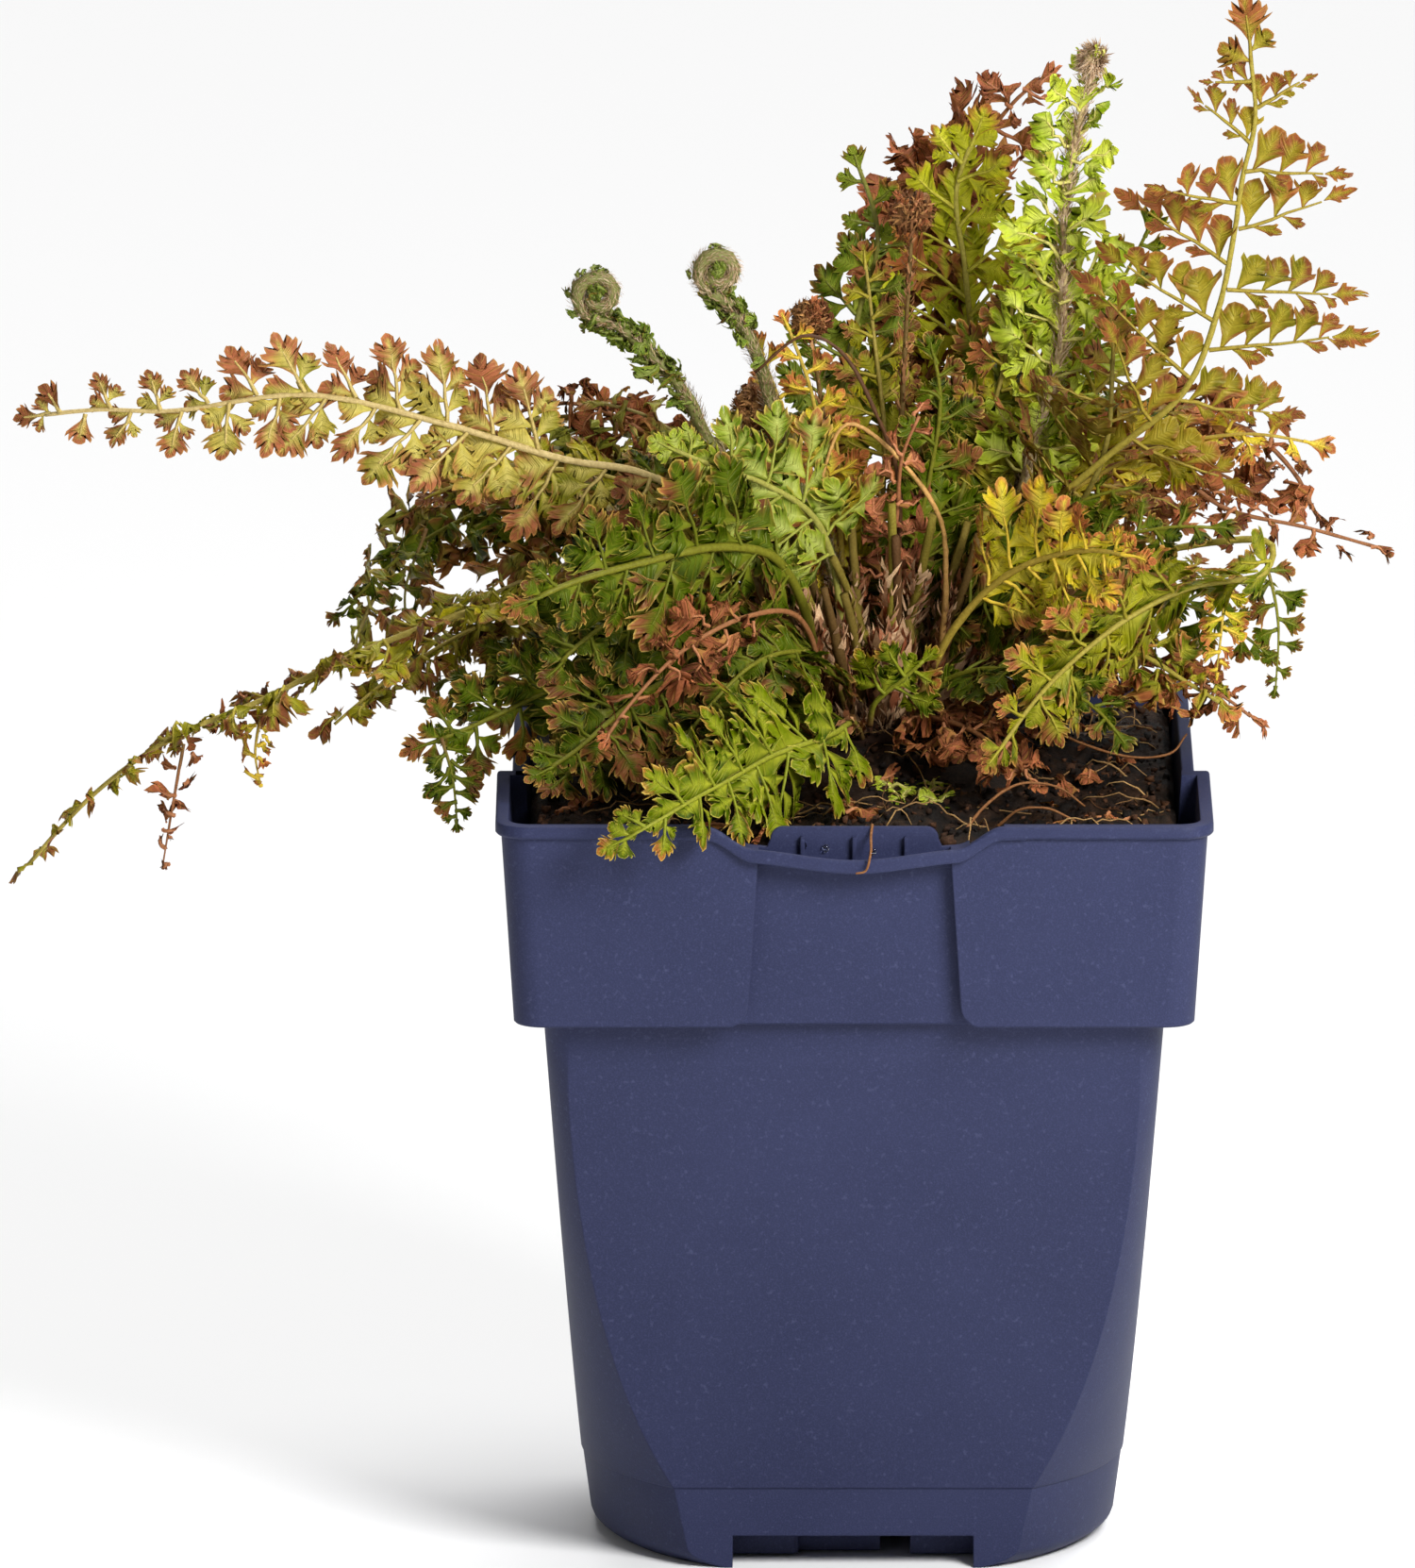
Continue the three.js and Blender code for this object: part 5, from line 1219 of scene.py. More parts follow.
# Lesser fronds that fill the plant between the others: where each runs, its reach, its look and
# what is special about it. Those with pairs of their own start where their line starts, and the
# others at the crown.
CRINKLED = {"crumple": 2.8, "rough": 0.9, "wilt": 1.2}
TORN = {
    "pairs": 3, "taper": 3, "bare": 0.1, "stipe": 1.3, "hair": 0, "crumple": 2.4, "rough": 0.9, "wilt": 0.9,
}
FAN = {"pairs": 2, "slim": 1.9, "bare": 0.35, "stipe": 1.2, "hair": 0}
HANGING = {"pairs": 5, "bare": 0.06, "stipe": 0.7, "hair": 0}
DANGLING = {**HANGING, **CRINKLED}
LESSER = {
    "lesser_left": ("green_leaf", [
        ("-8 14 168 / -16 12 184 / -28 8 192 / -42 4 192 / -52 0 188", 17, GREEN, {}),
        ("-18 18 165 / -38 16 178 / -60 12 174 / -78 8 164 / -90 4 152", 17, FADED, CRINKLED),
        ("-12 -2 158 / -26 -14 160 / -40 -26 156 / -50 -36 150 / -56 -44 146", 22, GREEN, {}),
        ("-4 -4 160 / -10 -14 166 / -18 -24 166 / -26 -32 160 / -32 -38 153", 16, GREEN, {}),
        ("-6 -8 154 / -14 -20 157 / -24 -30 155 / -34 -40 150", 14, GREEN, {}),
        ("-14 20 166 / -30 22 184 / -48 22 192 / -66 20 192 / -80 16 188", 17, OLIVE, {}),
        ("-14 8 160 / -32 2 168 / -50 -4 168 / -64 -8 162 / -76 -10 154", 18, GREEN, {}),
        ("-10 22 168 / -22 26 188 / -36 30 200 / -50 32 204", 13, FADED, CRINKLED),
        ("-16 24 168 / -38 28 184 / -60 28 186 / -80 24 178 / -96 20 164", 18, GREEN, CRINKLED),
        ("-14 12 162 / -36 10 172 / -60 6 170 / -82 0 160 / -98 -6 148", 15, OLIVE, CRINKLED),
    ]),
    "lesser_middle": ("olive_leaf", [
        ("-3 26 170 / -8 30 190 / -14 32 205 / -18 32 216", 13, MIXED, {}),
        ("4 24 170 / 6 30 195 / 4 34 215 / 2 36 232", 14, OLIVE, {}),
        ("14 18 168 / 20 22 188 / 26 26 206 / 34 30 222 / 40 32 236", 18, GREEN, {}),
        # These torn dead fronds at the back use the lightened rust look: painted light where they lie in
        # shade.
        ("9 52 214 / 11 56 228 / 16 58 242 / 22 57 252", 17, RUST_PAINTED_LIGHTER, TORN),
        ("15 56 232 / 22 56 244 / 31 55 256 / 38 54 261", 13, RUST_PAINTED_LIGHTER, TORN),
        ("3 -8 151 / 4 -12 156 / 9 -15 161 / 15 -17 167", 12, LIME, FAN),
        ("18 24 168 / 30 30 190 / 40 34 210 / 50 36 226 / 56 36 238", 15, LIME, {}),
        ("10 16 172 / 14 14 192 / 16 12 208 / 14 10 220", 16, GREEN, {}),
        ("12 22 170 / 22 24 192 / 28 26 212 / 30 28 230", 15, OLIVE, {}),
        ("0 18 172 / -2 20 190 / -4 22 206", 13, MIXED, CRINKLED),
        ("-2 14 178 / -5 8 196 / -8 4 212 / -13 2 226", 11, MIXED, {}),
        # This one uses the lightened rust look too: painted light.
        ("6 8 176 / 8 2 188 / 9 -2 200 / 13 -4 210", 10, RUST_PAINTED_LIGHTER, CRINKLED),
        ("24 22 176 / 36 24 196 / 50 26 212 / 60 26 222", 17, OLIVE, {}),
    ]),
    "lesser_right": ("olive_leaf", [
        ("16 14 166 / 28 10 180 / 42 6 190 / 54 2 194", 14, GREEN, {}),
        ("17 8 164 / 30 2 176 / 44 -4 184 / 58 -8 188 / 70 -10 188", 16, GREEN, {}),
        ("20 12 160 / 36 12 170 / 52 10 172 / 66 8 168 / 78 6 160", 17, GREEN, {}),
        ("20 6 156 / 36 2 162 / 52 -2 162 / 66 -6 157 / 76 -8 150", 15, RUST, CRINKLED),
        ("14 -2 156 / 24 -10 162 / 34 -18 162 / 44 -26 158 / 50 -32 152", 15, GREEN, {}),
        ("12 -6 152 / 20 -18 153 / 28 -30 150 / 34 -38 146", 13, RUST, CRINKLED),
        ("20 18 170 / 36 20 186 / 54 20 196 / 72 18 200 / 88 16 198", 16, MIXED, {}),
        ("22 24 172 / 40 30 188 / 60 32 192 / 80 28 184", 15, RUST, CRINKLED),
    ]),
    "lesser_behind": ("green_leaf", [
        ("20 24 160 / 40 32 172 / 58 40 172 / 72 46 164", 17, OLIVE, {}),
        ("12 34 160 / 20 52 174 / 26 70 174 / 30 84 164", 17, GREEN, {}),
        ("0 36 160 / -8 54 176 / -14 70 176 / -18 84 168", 17, GREEN, {}),
        ("-12 28 160 / -32 38 172 / -50 48 170 / -62 56 160", 17, DARK, {}),
    ]),
    "hanging_bits": ("dry_leaf", [
        ("75 -8 183 / 77.5 -10 171 / 77 -12 157", 6.5, GREEN, HANGING),
        ("68 -9 178 / 67 -12 168 / 66 -13 160", 5.5, MIXED, HANGING),
        ("-75 -28 153 / -73 -30 146 / -72 -31 136", 7, GREEN, HANGING),
        ("-100 -20 158 / -112 -19 156 / -126 -18 150", 4.5, RUST, DANGLING),
        ("-122 -24 151 / -124 -25 140 / -126 -25 128", 4, RUST, DANGLING),
        ("-108 -22 156 / -109 -23 149 / -108 -23 143", 4.5, MIXED, DANGLING),
        ("-78 10 184 / -82 8 172 / -80 6 160", 6, DARK, DANGLING),
        ("-72 -4 160 / -74 -6 152 / -70 -8 143", 5, DARK, DANGLING),
    ]),
}


def lesser_frond(row, group, slot, index):
    """A row of LESSER as a whole frond, with its pinnae facing the camera."""
    route, reach, tone, more = row
    points = spots(route)
    chord = points[-1] - points[0]
    steep = abs(chord[2]) > math.hypot(chord[0], chord[1])
    facing = vec(0.2, -1, 0.3) if steep else vec(0.1, -0.6, 0.8)
    across = unit(np.cross(chord, facing))
    if "pairs" in more:
        base = points.pop(0)
    else:
        pairs = round(np.linalg.norm(chord) / (0.5 * reach))
        more = {**more, "pairs": pairs, "stipe": 1.4, "bare": 0.2, "hair": 0.3}
        away = points[0] - CROWN
        base = CROWN + vec(*(unit(vec(away[0], away[1], 0)) * 12)[:2], 0)
    return {
        **COMMON, "name": group, "base": base, "route": points, "across": across, "across_tip": across,
        "reach": reach, "look": tone, "seed": 200 + index, "slot": slot, **more,
        "fresh": tone is not RUST and tone is not RUST_PAINTED_LIGHTER,
    }


STAGGER = 0.22  # how far a pair's pinnae stand apart along the stalk, as a share of the spacing


def stalk_width(frond, share):
    """The stalk's width at a share of its length."""
    return frond["stipe"] * mix(1, frond["thin"], np.minimum(1.0, share * 1.1))


def grow(surface, frond, route):
    """Adds a frond to a surface: its stalk, its pinnae and the scales at its foot."""
    rng = random.Random(frond["seed"])
    dice = np.random.default_rng(frond["seed"])
    first = route.length * frond["bare"]
    run = route.leaf_end - first
    spacing = run / frond["pairs"]
    tone = frond["look"]
    surface.leaf = LEAF if frond["fresh"] else DEAD_LEAF
    for i in range(frond["pairs"]):
        for side in (-1, 1):
            u = (i + 0.5 + STAGGER * side) / frond["pairs"]
            envelope = (0.62 + 0.38 * min(1, u / 0.3)) * (1 - 0.72 * u ** frond["taper"])
            at = first + run * u
            point, along, across, face = route.at(at)
            up = face if np.dot(face, LIGHT_SIDE) > 0 else -face
            lean = frond["lean"] + rng.uniform(-0.2, 0.2)
            tilt = frond["cup"] + rng.uniform(-0.3, 0.3)
            out = across * side * math.cos(tilt) + up * math.sin(tilt)
            rib = unit(out * math.sin(lean) + along * math.cos(lean))
            cross = unit(along - rib * np.dot(along, rib))
            normal = np.cross(rib, cross)
            normal = normal if np.dot(normal, up) > 0 else -normal
            turn = frond["turn"] * side
            cross, normal = (
                cross * math.cos(turn) + normal * math.sin(turn),
                normal * math.cos(turn) - cross * math.sin(turn),
            )
            if side in frond["lost"] and u < frond["lost_to"]:
                continue
            width = stalk_width(frond, at / route.length)
            reach = frond["reach"] * envelope * rng.uniform(0.84, 1.1)
            pinna(
                surface, point + out * width * 0.42, rib, cross, normal,
                reach, spacing * 0.62 * frond["slim"], frond["kind"], tone, u, rng, frond["rough"],
                bend=frond["wilt"] * rng.uniform(0.5, 1.3) + 0.15, cup=0.5 + 0.6 * rng.random(),
                twist=rng.uniform(-0.5, 0.5) * (1 + frond["crumple"] * 0.4), crumple=frond["crumple"],
            )
    stop = route.length
    if "curl" not in frond:
        tip = frond["reach"] * TIP_SHARE
        point, along, across, face = route.at(route.length - tip)
        up = face if np.dot(face, LIGHT_SIDE) > 0 else -face
        pinna(surface, point, along, across, up, tip * 1.05, 4, "fan", tone, 1.0, rng, 0.2,
              bend=0.2, cup=0.5, twist=0.0, crumple=frond["crumple"] * 0.6)
        stop = route.length - tip + 1.0
    stops = np.linspace(0, stop, max(24, int(stop / 2.0)) + 1)
    radii = stalk_width(frond, stops / route.length) / 2 * 1.02
    if "curl" in frond:
        radii = radii * (1 + frond["fat"] * ease((stops / stop - frond["coil_from"]) / 0.06))
    tints = mix(FOOT_TINT, tone["stem"], ease(stops / (0.35 * stop))[:, None])
    tube(surface, [route.at(d)[0] for d in stops], radii, tints, flat=frond["depth"], up=route.at(0)[3],
         lumps=0.15, seed=frond["seed"])

    def radius(d):
        return stalk_width(frond, d / route.length) / 2

    if frond["hair"]:
        count = int(90 * frond["hair"])
        scales(surface, route, 0, 0.24 * stop, count, 3.2, radius, SCALE_TINTS, dice, 0.6, (0.16, 0.36))
    return dice, radius


def make_frond(frond):
    """The leaves, the stalk and the scales that replace one solid."""
    surface = Surface()
    route = route_of(frond)
    dice, radius = grow(surface, frond, route)
    if "curl" in frond:
        fur(surface, frond, route, dice, radius)
    surface.piece(frond["name"] + "_leaves", FROND_PARTS, frond["slot"], frond["name"])


def fur(surface, frond, route, dice, radius):
    """Long pale hairs on a young frond, thickest on its coiled head, with crinkled tufts beside them."""
    end, coil = route.length, frond["coil_from"] * route.length

    def fat(d):
        return radius(d) * (1 + frond["fat"] * ease((d - coil) / 4))

    for start, stop, count, size, round_it, spread, slender in (
        (0.1 * end, coil, 460, frond["shag"], radius, 1.1, (0.06, 0.13)),
        (coil, end, 300, frond["fuzz"], fat, 1.2, (0.05, 0.11)),
    ):
        count = int(count * frond["hair"])
        scales(surface, route, start, stop, count, size, round_it, SILVER_TINTS, dice, spread, slender)
    heart = np.mean([route.at(d)[0] for d in np.linspace(coil, end, 20)[4:]], axis=0)
    rng = random.Random(frond["seed"] + 1)
    surface.leaf = LEAF
    first = frond["tufts_from"] * end
    for k in range(frond["tufts"]):
        d = mix(first, end, ((k + rng.random() * 0.6) / frond["tufts"]) ** 0.7)
        point, along, side, face = route.at(d)
        outward = face if k % 2 else -face
        if d > coil:
            outward = unit(side * (1 - k % 3) + 0.7 * face * rng.uniform(-1, 1))
            point = point if k % 3 else heart
        size = mix(3.2, 1.5, float(ease((d - coil + 8) / 12)))
        for _ in range(5):
            toss = vec(*(rng.gauss(0, 0.55) for _ in range(3)))
            rib = unit(outward + 0.5 * along + toss)
            cross = unit(np.cross(rib, along + toss))
            start = point + outward * float(fat(d)) * 0.8
            pinna(surface, start, rib, cross, np.cross(rib, cross), size, size * 0.5, "fan", frond["look"],
                  0.2, rng, 0.8, bend=1.6, cup=1.0, twist=rng.uniform(-1, 1), crumple=0.9)


# ---------------------------------------------------------------- young curls and dead stalks
BALL = {"across": (0, -1, 0), "bare": 1.0, "reach": 0.0, "stipe": 1.7, "thin": 0.45, "depth": 0.9}
YOUNG = [
    {**BALL, "name": "young_curl_left", "base": (-4, 17, 146), "route": [(-10, 15, 185), (-18, 14, 206)],
     "ball": 3.8, "tone": 0.6},
    {**BALL, "name": "young_curl_middle", "base": (3, 20, 146), "route": [(-2, 18, 190), (-8, 16, 222)],
     "ball": 3.1, "tone": 0.35},
    {**BALL, "name": "young_curl_right", "base": (8, 20, 146), "route": [(10, 27, 190), (11, 30, 239)],
     "ball": 3.8, "tone": 0.2},
]
DEAD = {**BALL, "stipe": 1.4}
DEAD_STALKS = [
    {**DEAD, "name": "dead_stalk_dark", "base": (6, 10, 146), "tint": (88, 58, 36),
     "route": [(9, 5, 195), (6, 3, 206), (-1, 2, 219), (-8, 1, 222), (-18, 1, 215)], "slot": "dead_stalk"},
    {**DEAD, "name": "dead_stalk_straw", "base": (14, 9, 146), "tint": (190, 146, 86),
     "route": [(17, 3, 175), (15, 0, 190), (-1, -2, 206), (-7, -3, 192)], "slot": "straw_stalk"},
]


def tossed(dice, count):
    """Directions all round."""
    v = dice.normal(0, 1, (count, 3))
    return v / np.linalg.norm(v, axis=1)[:, None]


BROWN, TAN = paint(104, 66, 38), paint(186, 138, 84)
COIL_END = 12.5  # radians that a young curl is rolled up
COIL_STEPS = 56
BALL_FLAKES = 900
BALL_BITS = 26
STALK_STEPS = 61


def make_ball(stalk):
    """A young frond that has dried while rolled up: a loose coil wrapped in papery scales."""
    rng = random.Random(len(stalk["name"]))
    dice = np.random.default_rng(len(stalk["name"]))
    route = route_of(stalk)
    surface = Surface()
    stops = np.linspace(0, route.length, 31)
    radii = stalk_width(stalk, stops / route.length) / 2
    tube(surface, [route.at(d)[0] for d in stops], radii, mix(BROWN, paint(112, 106, 50), 0.4), lumps=0.2)
    scales(surface, route, 0, route.length, 420, 2.0, lambda d: 0.8 + 0 * d, SCALE_TINTS, dice, 0.9)
    centre, ball = route.at(route.length)[0], stalk["ball"]
    turns = np.linspace(0, COIL_END, COIL_STEPS)
    r = ball * (0.74 - 0.5 * turns / COIL_END)
    offsets = np.column_stack([r * np.cos(turns), 0.35 * ball * np.sin(turns * 1.3), r * np.sin(turns)])
    radii = ball * np.linspace(0.34, 0.18, COIL_STEPS)
    tube(surface, centre + offsets, radii, mix(BROWN, TAN, stalk["tone"]), lumps=0.6)
    count = BALL_FLAKES
    out, other = tossed(dice, count), tossed(dice, count)
    ways = np.cross(out, other)
    ways = ways / np.linalg.norm(ways, axis=1)[:, None] + out * dice.uniform(0, 0.7, (count, 1))
    lengths = dice.uniform(0.8, 2.4, (count, 1))
    shades = mix(BROWN, TAN, np.clip(stalk["tone"] + dice.normal(0, 0.3, (count, 1)), 0, 1))
    feet = centre + out * ball * dice.uniform(0.6, 0.98, (count, 1))
    flakes(surface, feet, ways, np.cross(out, ways), out, lengths, lengths * 0.2, shades)
    surface.leaf = DEAD_LEAF
    for _ in range(BALL_BITS):
        rib = tossed(dice, 1)[0]
        cross = unit(np.cross(rib, vec(0.3, 1, 0.2)))
        pinna(surface, centre + rib * ball * 0.5, rib, cross, np.cross(rib, cross), 3.4, 1.8, "fan", RUST,
              0.5, rng, 0.9, bend=2.2, cup=1.2, twist=rng.uniform(-1, 1), crumple=1.2)
    surface.piece(stalk["name"] + "_scaled", FROND_PARTS, "scaly_crozier", stalk["name"])


def make_dead_stalk(stalk):
    """The bare stalk of an older frond, lumpy and uneven in colour."""
    dice = np.random.default_rng(len(stalk["name"]) + 5)
    route = route_of(stalk)
    surface = Surface()
    stops = np.linspace(0, route.length, STALK_STEPS)
    radii = stalk_width(stalk, stops / route.length) / 2 * dice.uniform(0.85, 1.1, STALK_STEPS)
    tints = paint(*stalk["tint"]) * dice.uniform(0.8, 1.15, (STALK_STEPS, 1))
    tube(surface, [route.at(d)[0] for d in stops], radii, tints, lumps=0.35)
    scales(surface, route, 0, 0.3 * route.length, 80, 2.2, lambda d: 0.7 + 0 * d, SCALE_TINTS, dice, 0.7)
    surface.piece(stalk["name"] + "_bare", [DRY, STALK, SCALY], stalk["slot"], stalk["name"])


# ---------------------------------------------------------------- rootstock and peat
CROWN_PROFILE = [(-6, 0.6), (-3, 0.8), (1, 0.9), (4.5, 0.8), (7, 0.42)]  # height and share of the radius
CROWN_SIDES = 40
STUBS = 7
STUB_STEPS = 15
ROOTLETS = 34
ROOTLET_STEPS = 12
CROWN_FLAKES = 2400
STUB_UP = vec(0, 1, 0.2)
PEAT_GAP = 0.6
PEAT_EDGE = 138.5
PEAT_MOUND = 11.0
PEAT_MOUND_RADIUS = 27.0
PEAT_GRID = 190
CRUMBLE = ((1.1, 0.11, 3), (0.8, 0.33, 9), (0.5, 0.9, 1), (0.3, 2, 7))  # height, fineness and seed
CRUMBS = 2600
SOIL = paint(20, 14, 10)


class Straight:
    """A straight stub, with the same places on it as a route."""

    def __init__(self, foot, tip):
        self.foot, self.tip = foot, tip
        self.length = np.linalg.norm(tip - foot)

    def at(self, distance):
        along = unit(self.tip - self.foot)
        side = unit(np.cross(along, STUB_UP))
        return self.foot + along * distance, along, side, np.cross(along, side)


def leaning(a, r, lean, height, rise=0.0):
    """The foot and the tip of a stub on the crown that leans outward."""
    out = vec(math.cos(a), math.sin(a), 0)
    foot = CROWN + out * r + vec(0, 0, rise)
    return foot, foot + (out * math.sin(lean) + vec(0, 0, 1) * math.cos(lean)) * height


def make_rootstock():
    """The crown, with old stubs, thin dry stalks and papery scales on it."""
    rng = random.Random(5)
    dice = np.random.default_rng(5)
    surface = Surface()
    rings = []
    a = np.linspace(0, 2 * math.pi, CROWN_SIDES, endpoint=False)
    flat = np.column_stack([np.cos(a), np.sin(a), 0 * a])
    for rise, share in CROWN_PROFILE:
        r = CROWN_RADIUS * share * (1 + 0.07 * np.sin(3 * a + rise))
        swell = 1 + 0.1 * cloud(flat * 3 + rise, 1.0)
        rings.append(CROWN + flat * r[:, None] * swell[:, None] + vec(0, 0, rise))
    surface.add(*skin(rings), paint(46, 28, 18), slot=1)
    draw = seeded(7)
    for k in range(STUBS):
        height, lean = mix(15, 23, draw()), mix(0.2, 0.38, draw())
        r = CROWN_RADIUS * mix(0.45, 0.72, draw())
        foot, tip = leaning(2 * math.pi * (k + 0.4) / STUBS, r, lean, height)
        tube(surface, np.linspace(foot, tip, STUB_STEPS), np.linspace(3.0, 1.8, STUB_STEPS),
             paint(112, 70, 46), 14, up=STUB_UP, lumps=0.5, seed=k)
        scales(surface, Straight(foot, tip), 0, height, 420, 5.4, lambda d: 3.0 - 0.06 * d, PAPER_TINTS,
               dice, 0.5, (0.2, 0.42))
    shares = np.linspace(0, 1, ROOTLET_STEPS)[:, None]
    for k in range(ROOTLETS):
        azimuth, r, lean = rng.uniform(0, 6.28), rng.uniform(1, 13), rng.uniform(0.05, 0.5)
        foot, tip = leaning(azimuth, r, lean, rng.uniform(18, 44), 3)
        bow = vec(rng.uniform(-2, 2), rng.uniform(-2, 2), 0)
        line = mix(foot, tip, shares) + bow * np.sin(math.pi * shares)
        tone = mix(paint(132, 122, 44), paint(86, 56, 34), rng.random())
        tube(surface, line, np.linspace(1.15, 0.75, ROOTLET_STEPS), tone, up=STUB_UP, lumps=0.25, seed=k)
        stub = Straight(foot, tip)
        scales(surface, stub, 0, 0.7 * stub.length, 110, 3.4, lambda d: 1.0 + 0 * d, PAPER_TINTS, dice,
               0.6, (0.14, 0.34))
    count = CROWN_FLAKES
    a, r = dice.uniform(0, 2 * math.pi, count), CROWN_RADIUS * np.sqrt(dice.random(count)) * 0.92
    flat = np.column_stack([r * np.cos(a), r * np.sin(a), 5 - 4 * (r / CROWN_RADIUS) ** 2])
    ways = flat * vec(0.07, 0.07, 0) + vec(0, 0, 1.1) + dice.normal(0, 0.3, (count, 3))
    ways = ways / np.linalg.norm(ways, axis=1)[:, None]
    sides = np.cross(ways, tossed(dice, count))
    lengths = dice.uniform(2.5, 8, (count, 1))
    widths = dice.uniform(0.3, 0.9, (count, 1))
    shades = mix(PAPER_TINTS[0], paint(70, 36, 22), dice.random((count, 1)) ** 0.4)
    flakes(surface, CROWN + flat, ways, sides, np.cross(ways, sides), lengths, widths, shades)
    surface.piece("rootstock_scaly", [FRESH, SCALY, SCALY], "rootstock", "rootstock")


def crumbled(x, y):
    """The height of the peat's top, which is lumpy and crumbly."""
    x, y = np.atleast_1d(x), np.atleast_1d(y)
    reach = np.hypot(x - CROWN[0], y - CROWN[1]) / PEAT_MOUND_RADIUS
    lumps = np.sin(x * 0.31 + 1) * np.cos(y * 0.27) + 0.7 * np.sin(x * 0.13 - y * 0.19)
    flat = np.column_stack([x, y, 0 * x])
    rough = sum(height * cloud(flat, fineness, seed) for height, fineness, seed in CRUMBLE)
    return PEAT_EDGE + PEAT_MOUND * np.exp(-reach * reach) + 0.9 * lumps + 0.7 + np.maximum(rough, -0.7)


def make_peat():
    """The peat's crumbly top, as a grid with a skirt, and loose crumbs on it."""
    rng = random.Random(9)
    dice = np.random.default_rng(9)
    surface = Surface()
    inner = PANEL_PROUD + COLLAR_WALL + PEAT_GAP
    half = mix(COLLAR_FOOT_HALF, COLLAR_TOP_HALF, (PEAT_EDGE - 2 - LEDGE) / (POT_HEIGHT - LEDGE)) - inner
    n = PEAT_GRID
    line = np.linspace(-half, half, n)
    x, y = (grid.ravel() for grid in np.meshgrid(line, line))
    top = np.column_stack([x, y, crumbled(x, y)])
    edge = np.maximum(np.abs(x), np.abs(y)) / half
    top[:, 2] -= 1.6 * ease((edge - 0.975) / 0.025)
    loop = list(range(n)) + [i * n + n - 1 for i in range(1, n)]
    loop += [n * n - 1 - i for i in range(1, n)] + [(n - 1 - i) * n for i in range(1, n - 1)]
    skirt = top[loop] * vec(0.995, 0.995, 0) + vec(0, 0, PEAT_EDGE - 4)
    cells = (r * n + c for r in range(n - 1) for c in range(n - 1))
    faces = [(i, i + 1, i + n + 1, i + n) for i in cells]
    count = len(loop)
    faces += [(loop[(i + 1) % count], loop[i], n * n + i, n * n + (i + 1) % count) for i in range(count)]
    faces.append(tuple(range(n * n + count - 1, n * n - 1, -1)))
    points = np.vstack([top, skirt])
    tone = np.clip(0.4 + cloud(points, 0.5), 0, 1)[:, None]
    surface.add(points, faces, mix(SOIL, paint(54, 36, 22), tone))
    for _ in range(CRUMBS):
        x, y = rng.uniform(-half, half) * 0.98, rng.uniform(-half, half) * 0.98
        size = rng.uniform(0.35, 1.7) * rng.uniform(0.4, 1)
        centre = vec(x, y, crumbled(x, y)[0] + size * 0.3)
        surface.add(*crumb(centre, size, dice), mix(SOIL, paint(96, 62, 38), rng.random() ** 2.2))
    surface.piece("peat_crumbs", [EARTH], "peat")


LITTER_EDGE = 57
ROOT_OVER = 0.25
SMALL_ROOTS = 170
LEAF_BITS = 70
SPROUTS = ((7.4, -17, 4.2), (14, -14, 3.8), (15.5, -25, 4.4), (9, -22, 3.2), (12, -19, 3.0))  # x, y, size


def crumb(centre, size, dice):
    """A small lump with eight uneven corners."""
    box = np.array([(x, y, z) for x in (-0.6, 0.6) for y in (-0.6, 0.6) for z in (-0.5, 0.5)])
    corners = centre + size * (box * dice.uniform(0.5, 1.1, (8, 1)) + dice.uniform(-0.3, 0.3, (8, 3)))
    return corners, [(0, 1, 3, 2), (4, 6, 7, 5), (0, 4, 5, 1), (2, 3, 7, 6), (0, 2, 6, 4), (1, 5, 7, 3)]


def wander(start, heading, length, rng, wiggle, climb):
    """The line of a root that creeps over the peat, or None where it would leave the pot."""
    x, y = start
    steps = max(6, int(length / 1.4))
    flat = []
    for _ in range(steps):
        flat.append((x, y))
        x += math.cos(heading) * length / steps
        y += math.sin(heading) * length / steps
        heading += rng.uniform(-wiggle, wiggle)
    flat = np.array([p for p in flat if max(abs(p[0]), abs(p[1])) < LITTER_EDGE])
    if len(flat) < 4:
        return None
    lift = climb * np.sin(np.linspace(0, math.pi, len(flat)))
    return np.column_stack([flat, crumbled(*flat.T) + ROOT_OVER + lift])


# Roots that stand out from the peat or hang over the rim.
LOOSE_ROOTS = (
    "3 -57 141.5 / 3.2 -60.5 143.9 / 3 -62 142.6 / 2.8 -66.9 139.6 / 1.9 -67.3 136.8 / 0.2 -67.2 136.4",
    "36 0 149 / 41 -6 147.5 / 51 -10 145.5 / 58 -9 146 / 61 -4 148.5",
    "20 -48 140 / 24 -44 144 / 30 -40 147 / 37 -38 146 / 42 -36 142",
    "26 -44 140 / 30 -46 143.5 / 35 -47 144 / 41 -46 141",
)


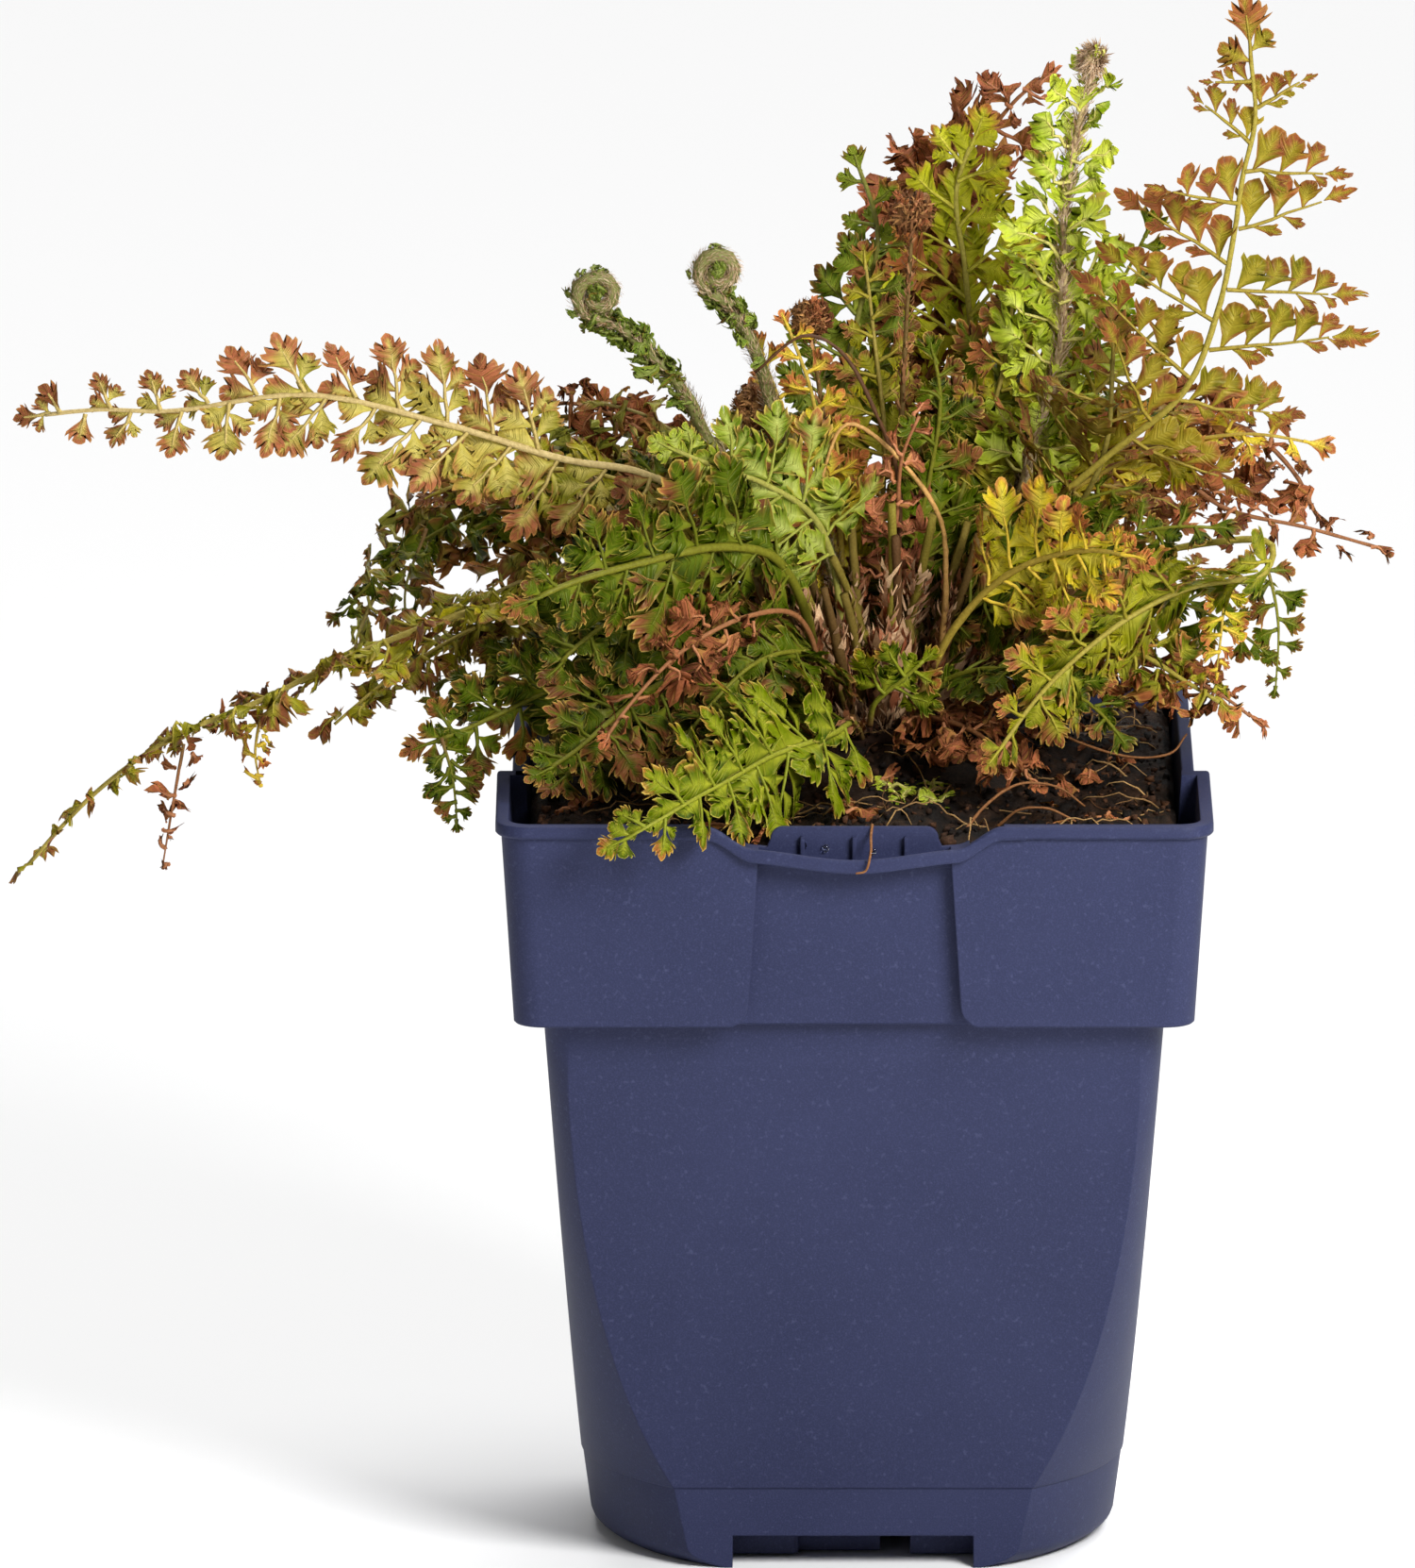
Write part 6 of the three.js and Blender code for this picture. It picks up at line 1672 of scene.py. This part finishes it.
def make_litter():
    """What lies on the peat: straw and brown roots, dry leaf bits and a few green sprouts."""
    rng = random.Random(21)
    roots, leaves = Surface(), Surface()
    leaves.leaf = DEAD_LEAF
    for _ in range(SMALL_ROOTS):
        start = (rng.uniform(-56, 56), rng.uniform(-56, 56))
        line = wander(start, rng.uniform(0, 6.3), rng.uniform(5, 24), rng, 0.22, rng.uniform(0, 3))
        if line is None:
            continue
        size = rng.uniform(0.1, 0.24)
        tone = mix(paint(206, 170, 112), paint(84, 54, 32), rng.random() ** 0.7)
        tube(roots, line, np.linspace(size, size * 0.5, len(line)), tone, 5, slot=LEAF, lumps=0.2)
    for text in LOOSE_ROOTS:
        curve = Curve(spots(text))
        line = [curve.at(d) for d in np.linspace(0, curve.length, 40)]
        tube(roots, line, np.linspace(0.3, 0.2, 40), paint(134, 92, 56), 6, slot=LEAF, lumps=0.3)
    roots.piece("surface_roots", [ROOT], "peat")
    for _ in range(LEAF_BITS):
        x, y = rng.uniform(-54, 54), rng.uniform(-55, 54)
        a = rng.uniform(0, 6.28)
        rib = unit(vec(math.cos(a), math.sin(a), rng.uniform(0, 0.5)))
        cross = unit(np.cross(vec(rng.gauss(0, 0.3), rng.gauss(0, 0.3), 1), rib))
        size = rng.uniform(2.5, 8)
        foot = vec(x, y, crumbled(x, y)[0] + 0.7)
        pinna(leaves, foot, rib, cross, np.cross(rib, cross), size, size * 0.5, "fan", RUST, 0.6, rng, 0.8,
              bend=rng.uniform(0.3, 1.4), cup=0.8, twist=rng.uniform(-1, 1), crumple=1.6)
    leaves.leaf = LEAF
    for x, y, size in SPROUTS:
        foot = vec(x, y, crumbled(x, y)[0] - 0.3)
        for k in range(5):
            rib = unit(vec(math.cos(1.26 * k), math.sin(1.26 * k) - 0.3, rng.uniform(0.5, 1.3)))
            cross = unit(np.cross(rib, vec(0, 0, 1)))
            pinna(leaves, foot, rib, cross, np.cross(cross, rib), size, size * 0.5, "fan", FRESHEST, 0,
                  rng, 0.6, bend=0.9, cup=1, twist=0.3, crumple=0.8)
    leaves.piece("fallen_leaf_bits", FROND_PARTS, "dry_leaf")


# ---------------------------------------------------------------- all the pieces
def make_lesser():
    """Each group of lesser fronds as one piece."""
    index = 0
    for name, (slot, rows) in LESSER.items():
        surface = Surface()
        for row in rows:
            index += 1
            made = lesser_frond(row, name, slot, index)
            grow(surface, made, Route(made))
        surface.piece(name, FROND_PARTS, slot)


make_pot()
make_drops()
make_peat()
make_litter()
make_rootstock()
for row in [*FRONDS, *back_fronds()]:
    make_frond(row)
make_lesser()
for row in YOUNG:
    make_ball(row)
for row in DEAD_STALKS:
    make_dead_stalk(row)

peat_body = frame["nodes"]["peat"]
peat_body.data.materials.clear()
peat_body.data.materials.append(PEAT)


# ---------------------------------------------------------------- floor, light and camera
LIT_POINT = Vector((0, 0, 0.17))
WORLD_STRENGTH = 0.14
ELEVATION = math.radians(12.3)
DISTANCE = 5.0
TARGET = Vector((-0.0266, 0.0, 0.1383))
FRAME_HEIGHT = 0.28705  # metres at the pot that fill the picture
SENSOR = 36


def make_floor():
    mesh = bpy.data.meshes.new("pale_floor")
    mesh.from_pydata([(-6, -4, 0), (6, -4, 0), (6, 8, 0), (-6, 8, 0)], [], [(0, 1, 2, 3)])
    mesh.materials.append(floor_paint())
    linked(bpy.data.objects.new("pale_floor", mesh))


def lamp(name, kind, place_at, energy, **more):
    """A lamp that points at the middle of the part."""
    data = bpy.data.lights.new(name, kind)
    data.energy = energy
    for key, value in more.items():
        setattr(data, key, value)
    made = linked(bpy.data.objects.new(name, data))
    made.location = place_at
    made.rotation_euler = (LIT_POINT - Vector(place_at)).to_track_quat("-Z", "Y").to_euler()


def make_camera():
    data = bpy.data.cameras.new("camera")
    data.sensor_width = SENSOR
    data.lens = SENSOR * DISTANCE / FRAME_HEIGHT
    data.clip_end = 10 * DISTANCE
    made = linked(bpy.data.objects.new("camera", data))
    made.location = TARGET + Vector((0, -math.cos(ELEVATION), math.sin(ELEVATION))) * DISTANCE
    made.rotation_euler = (math.pi / 2 - ELEVATION, 0, 0)
    bpy.context.scene.camera = made


make_floor()
lamp("key_light", "AREA", (0.32, -0.46, 0.46), 6.2, shape="DISK", size=0.3)
lamp("fill_light", "AREA", (-1.2, -0.9, 0.7), 1.2, shape="DISK", size=1.0)
lamp("top_light", "SUN", (0.15, 0.55, 1.3), 3.0, angle=math.radians(50))
world = bpy.data.worlds.new("studio")
world.use_nodes = True
world.node_tree.nodes["Background"].inputs["Color"].default_value = (1, 1, 1, 1)
world.node_tree.nodes["Background"].inputs["Strength"].default_value = WORLD_STRENGTH
bpy.context.scene.world = world
bpy.context.scene.view_settings.view_transform = "Standard"
make_camera()
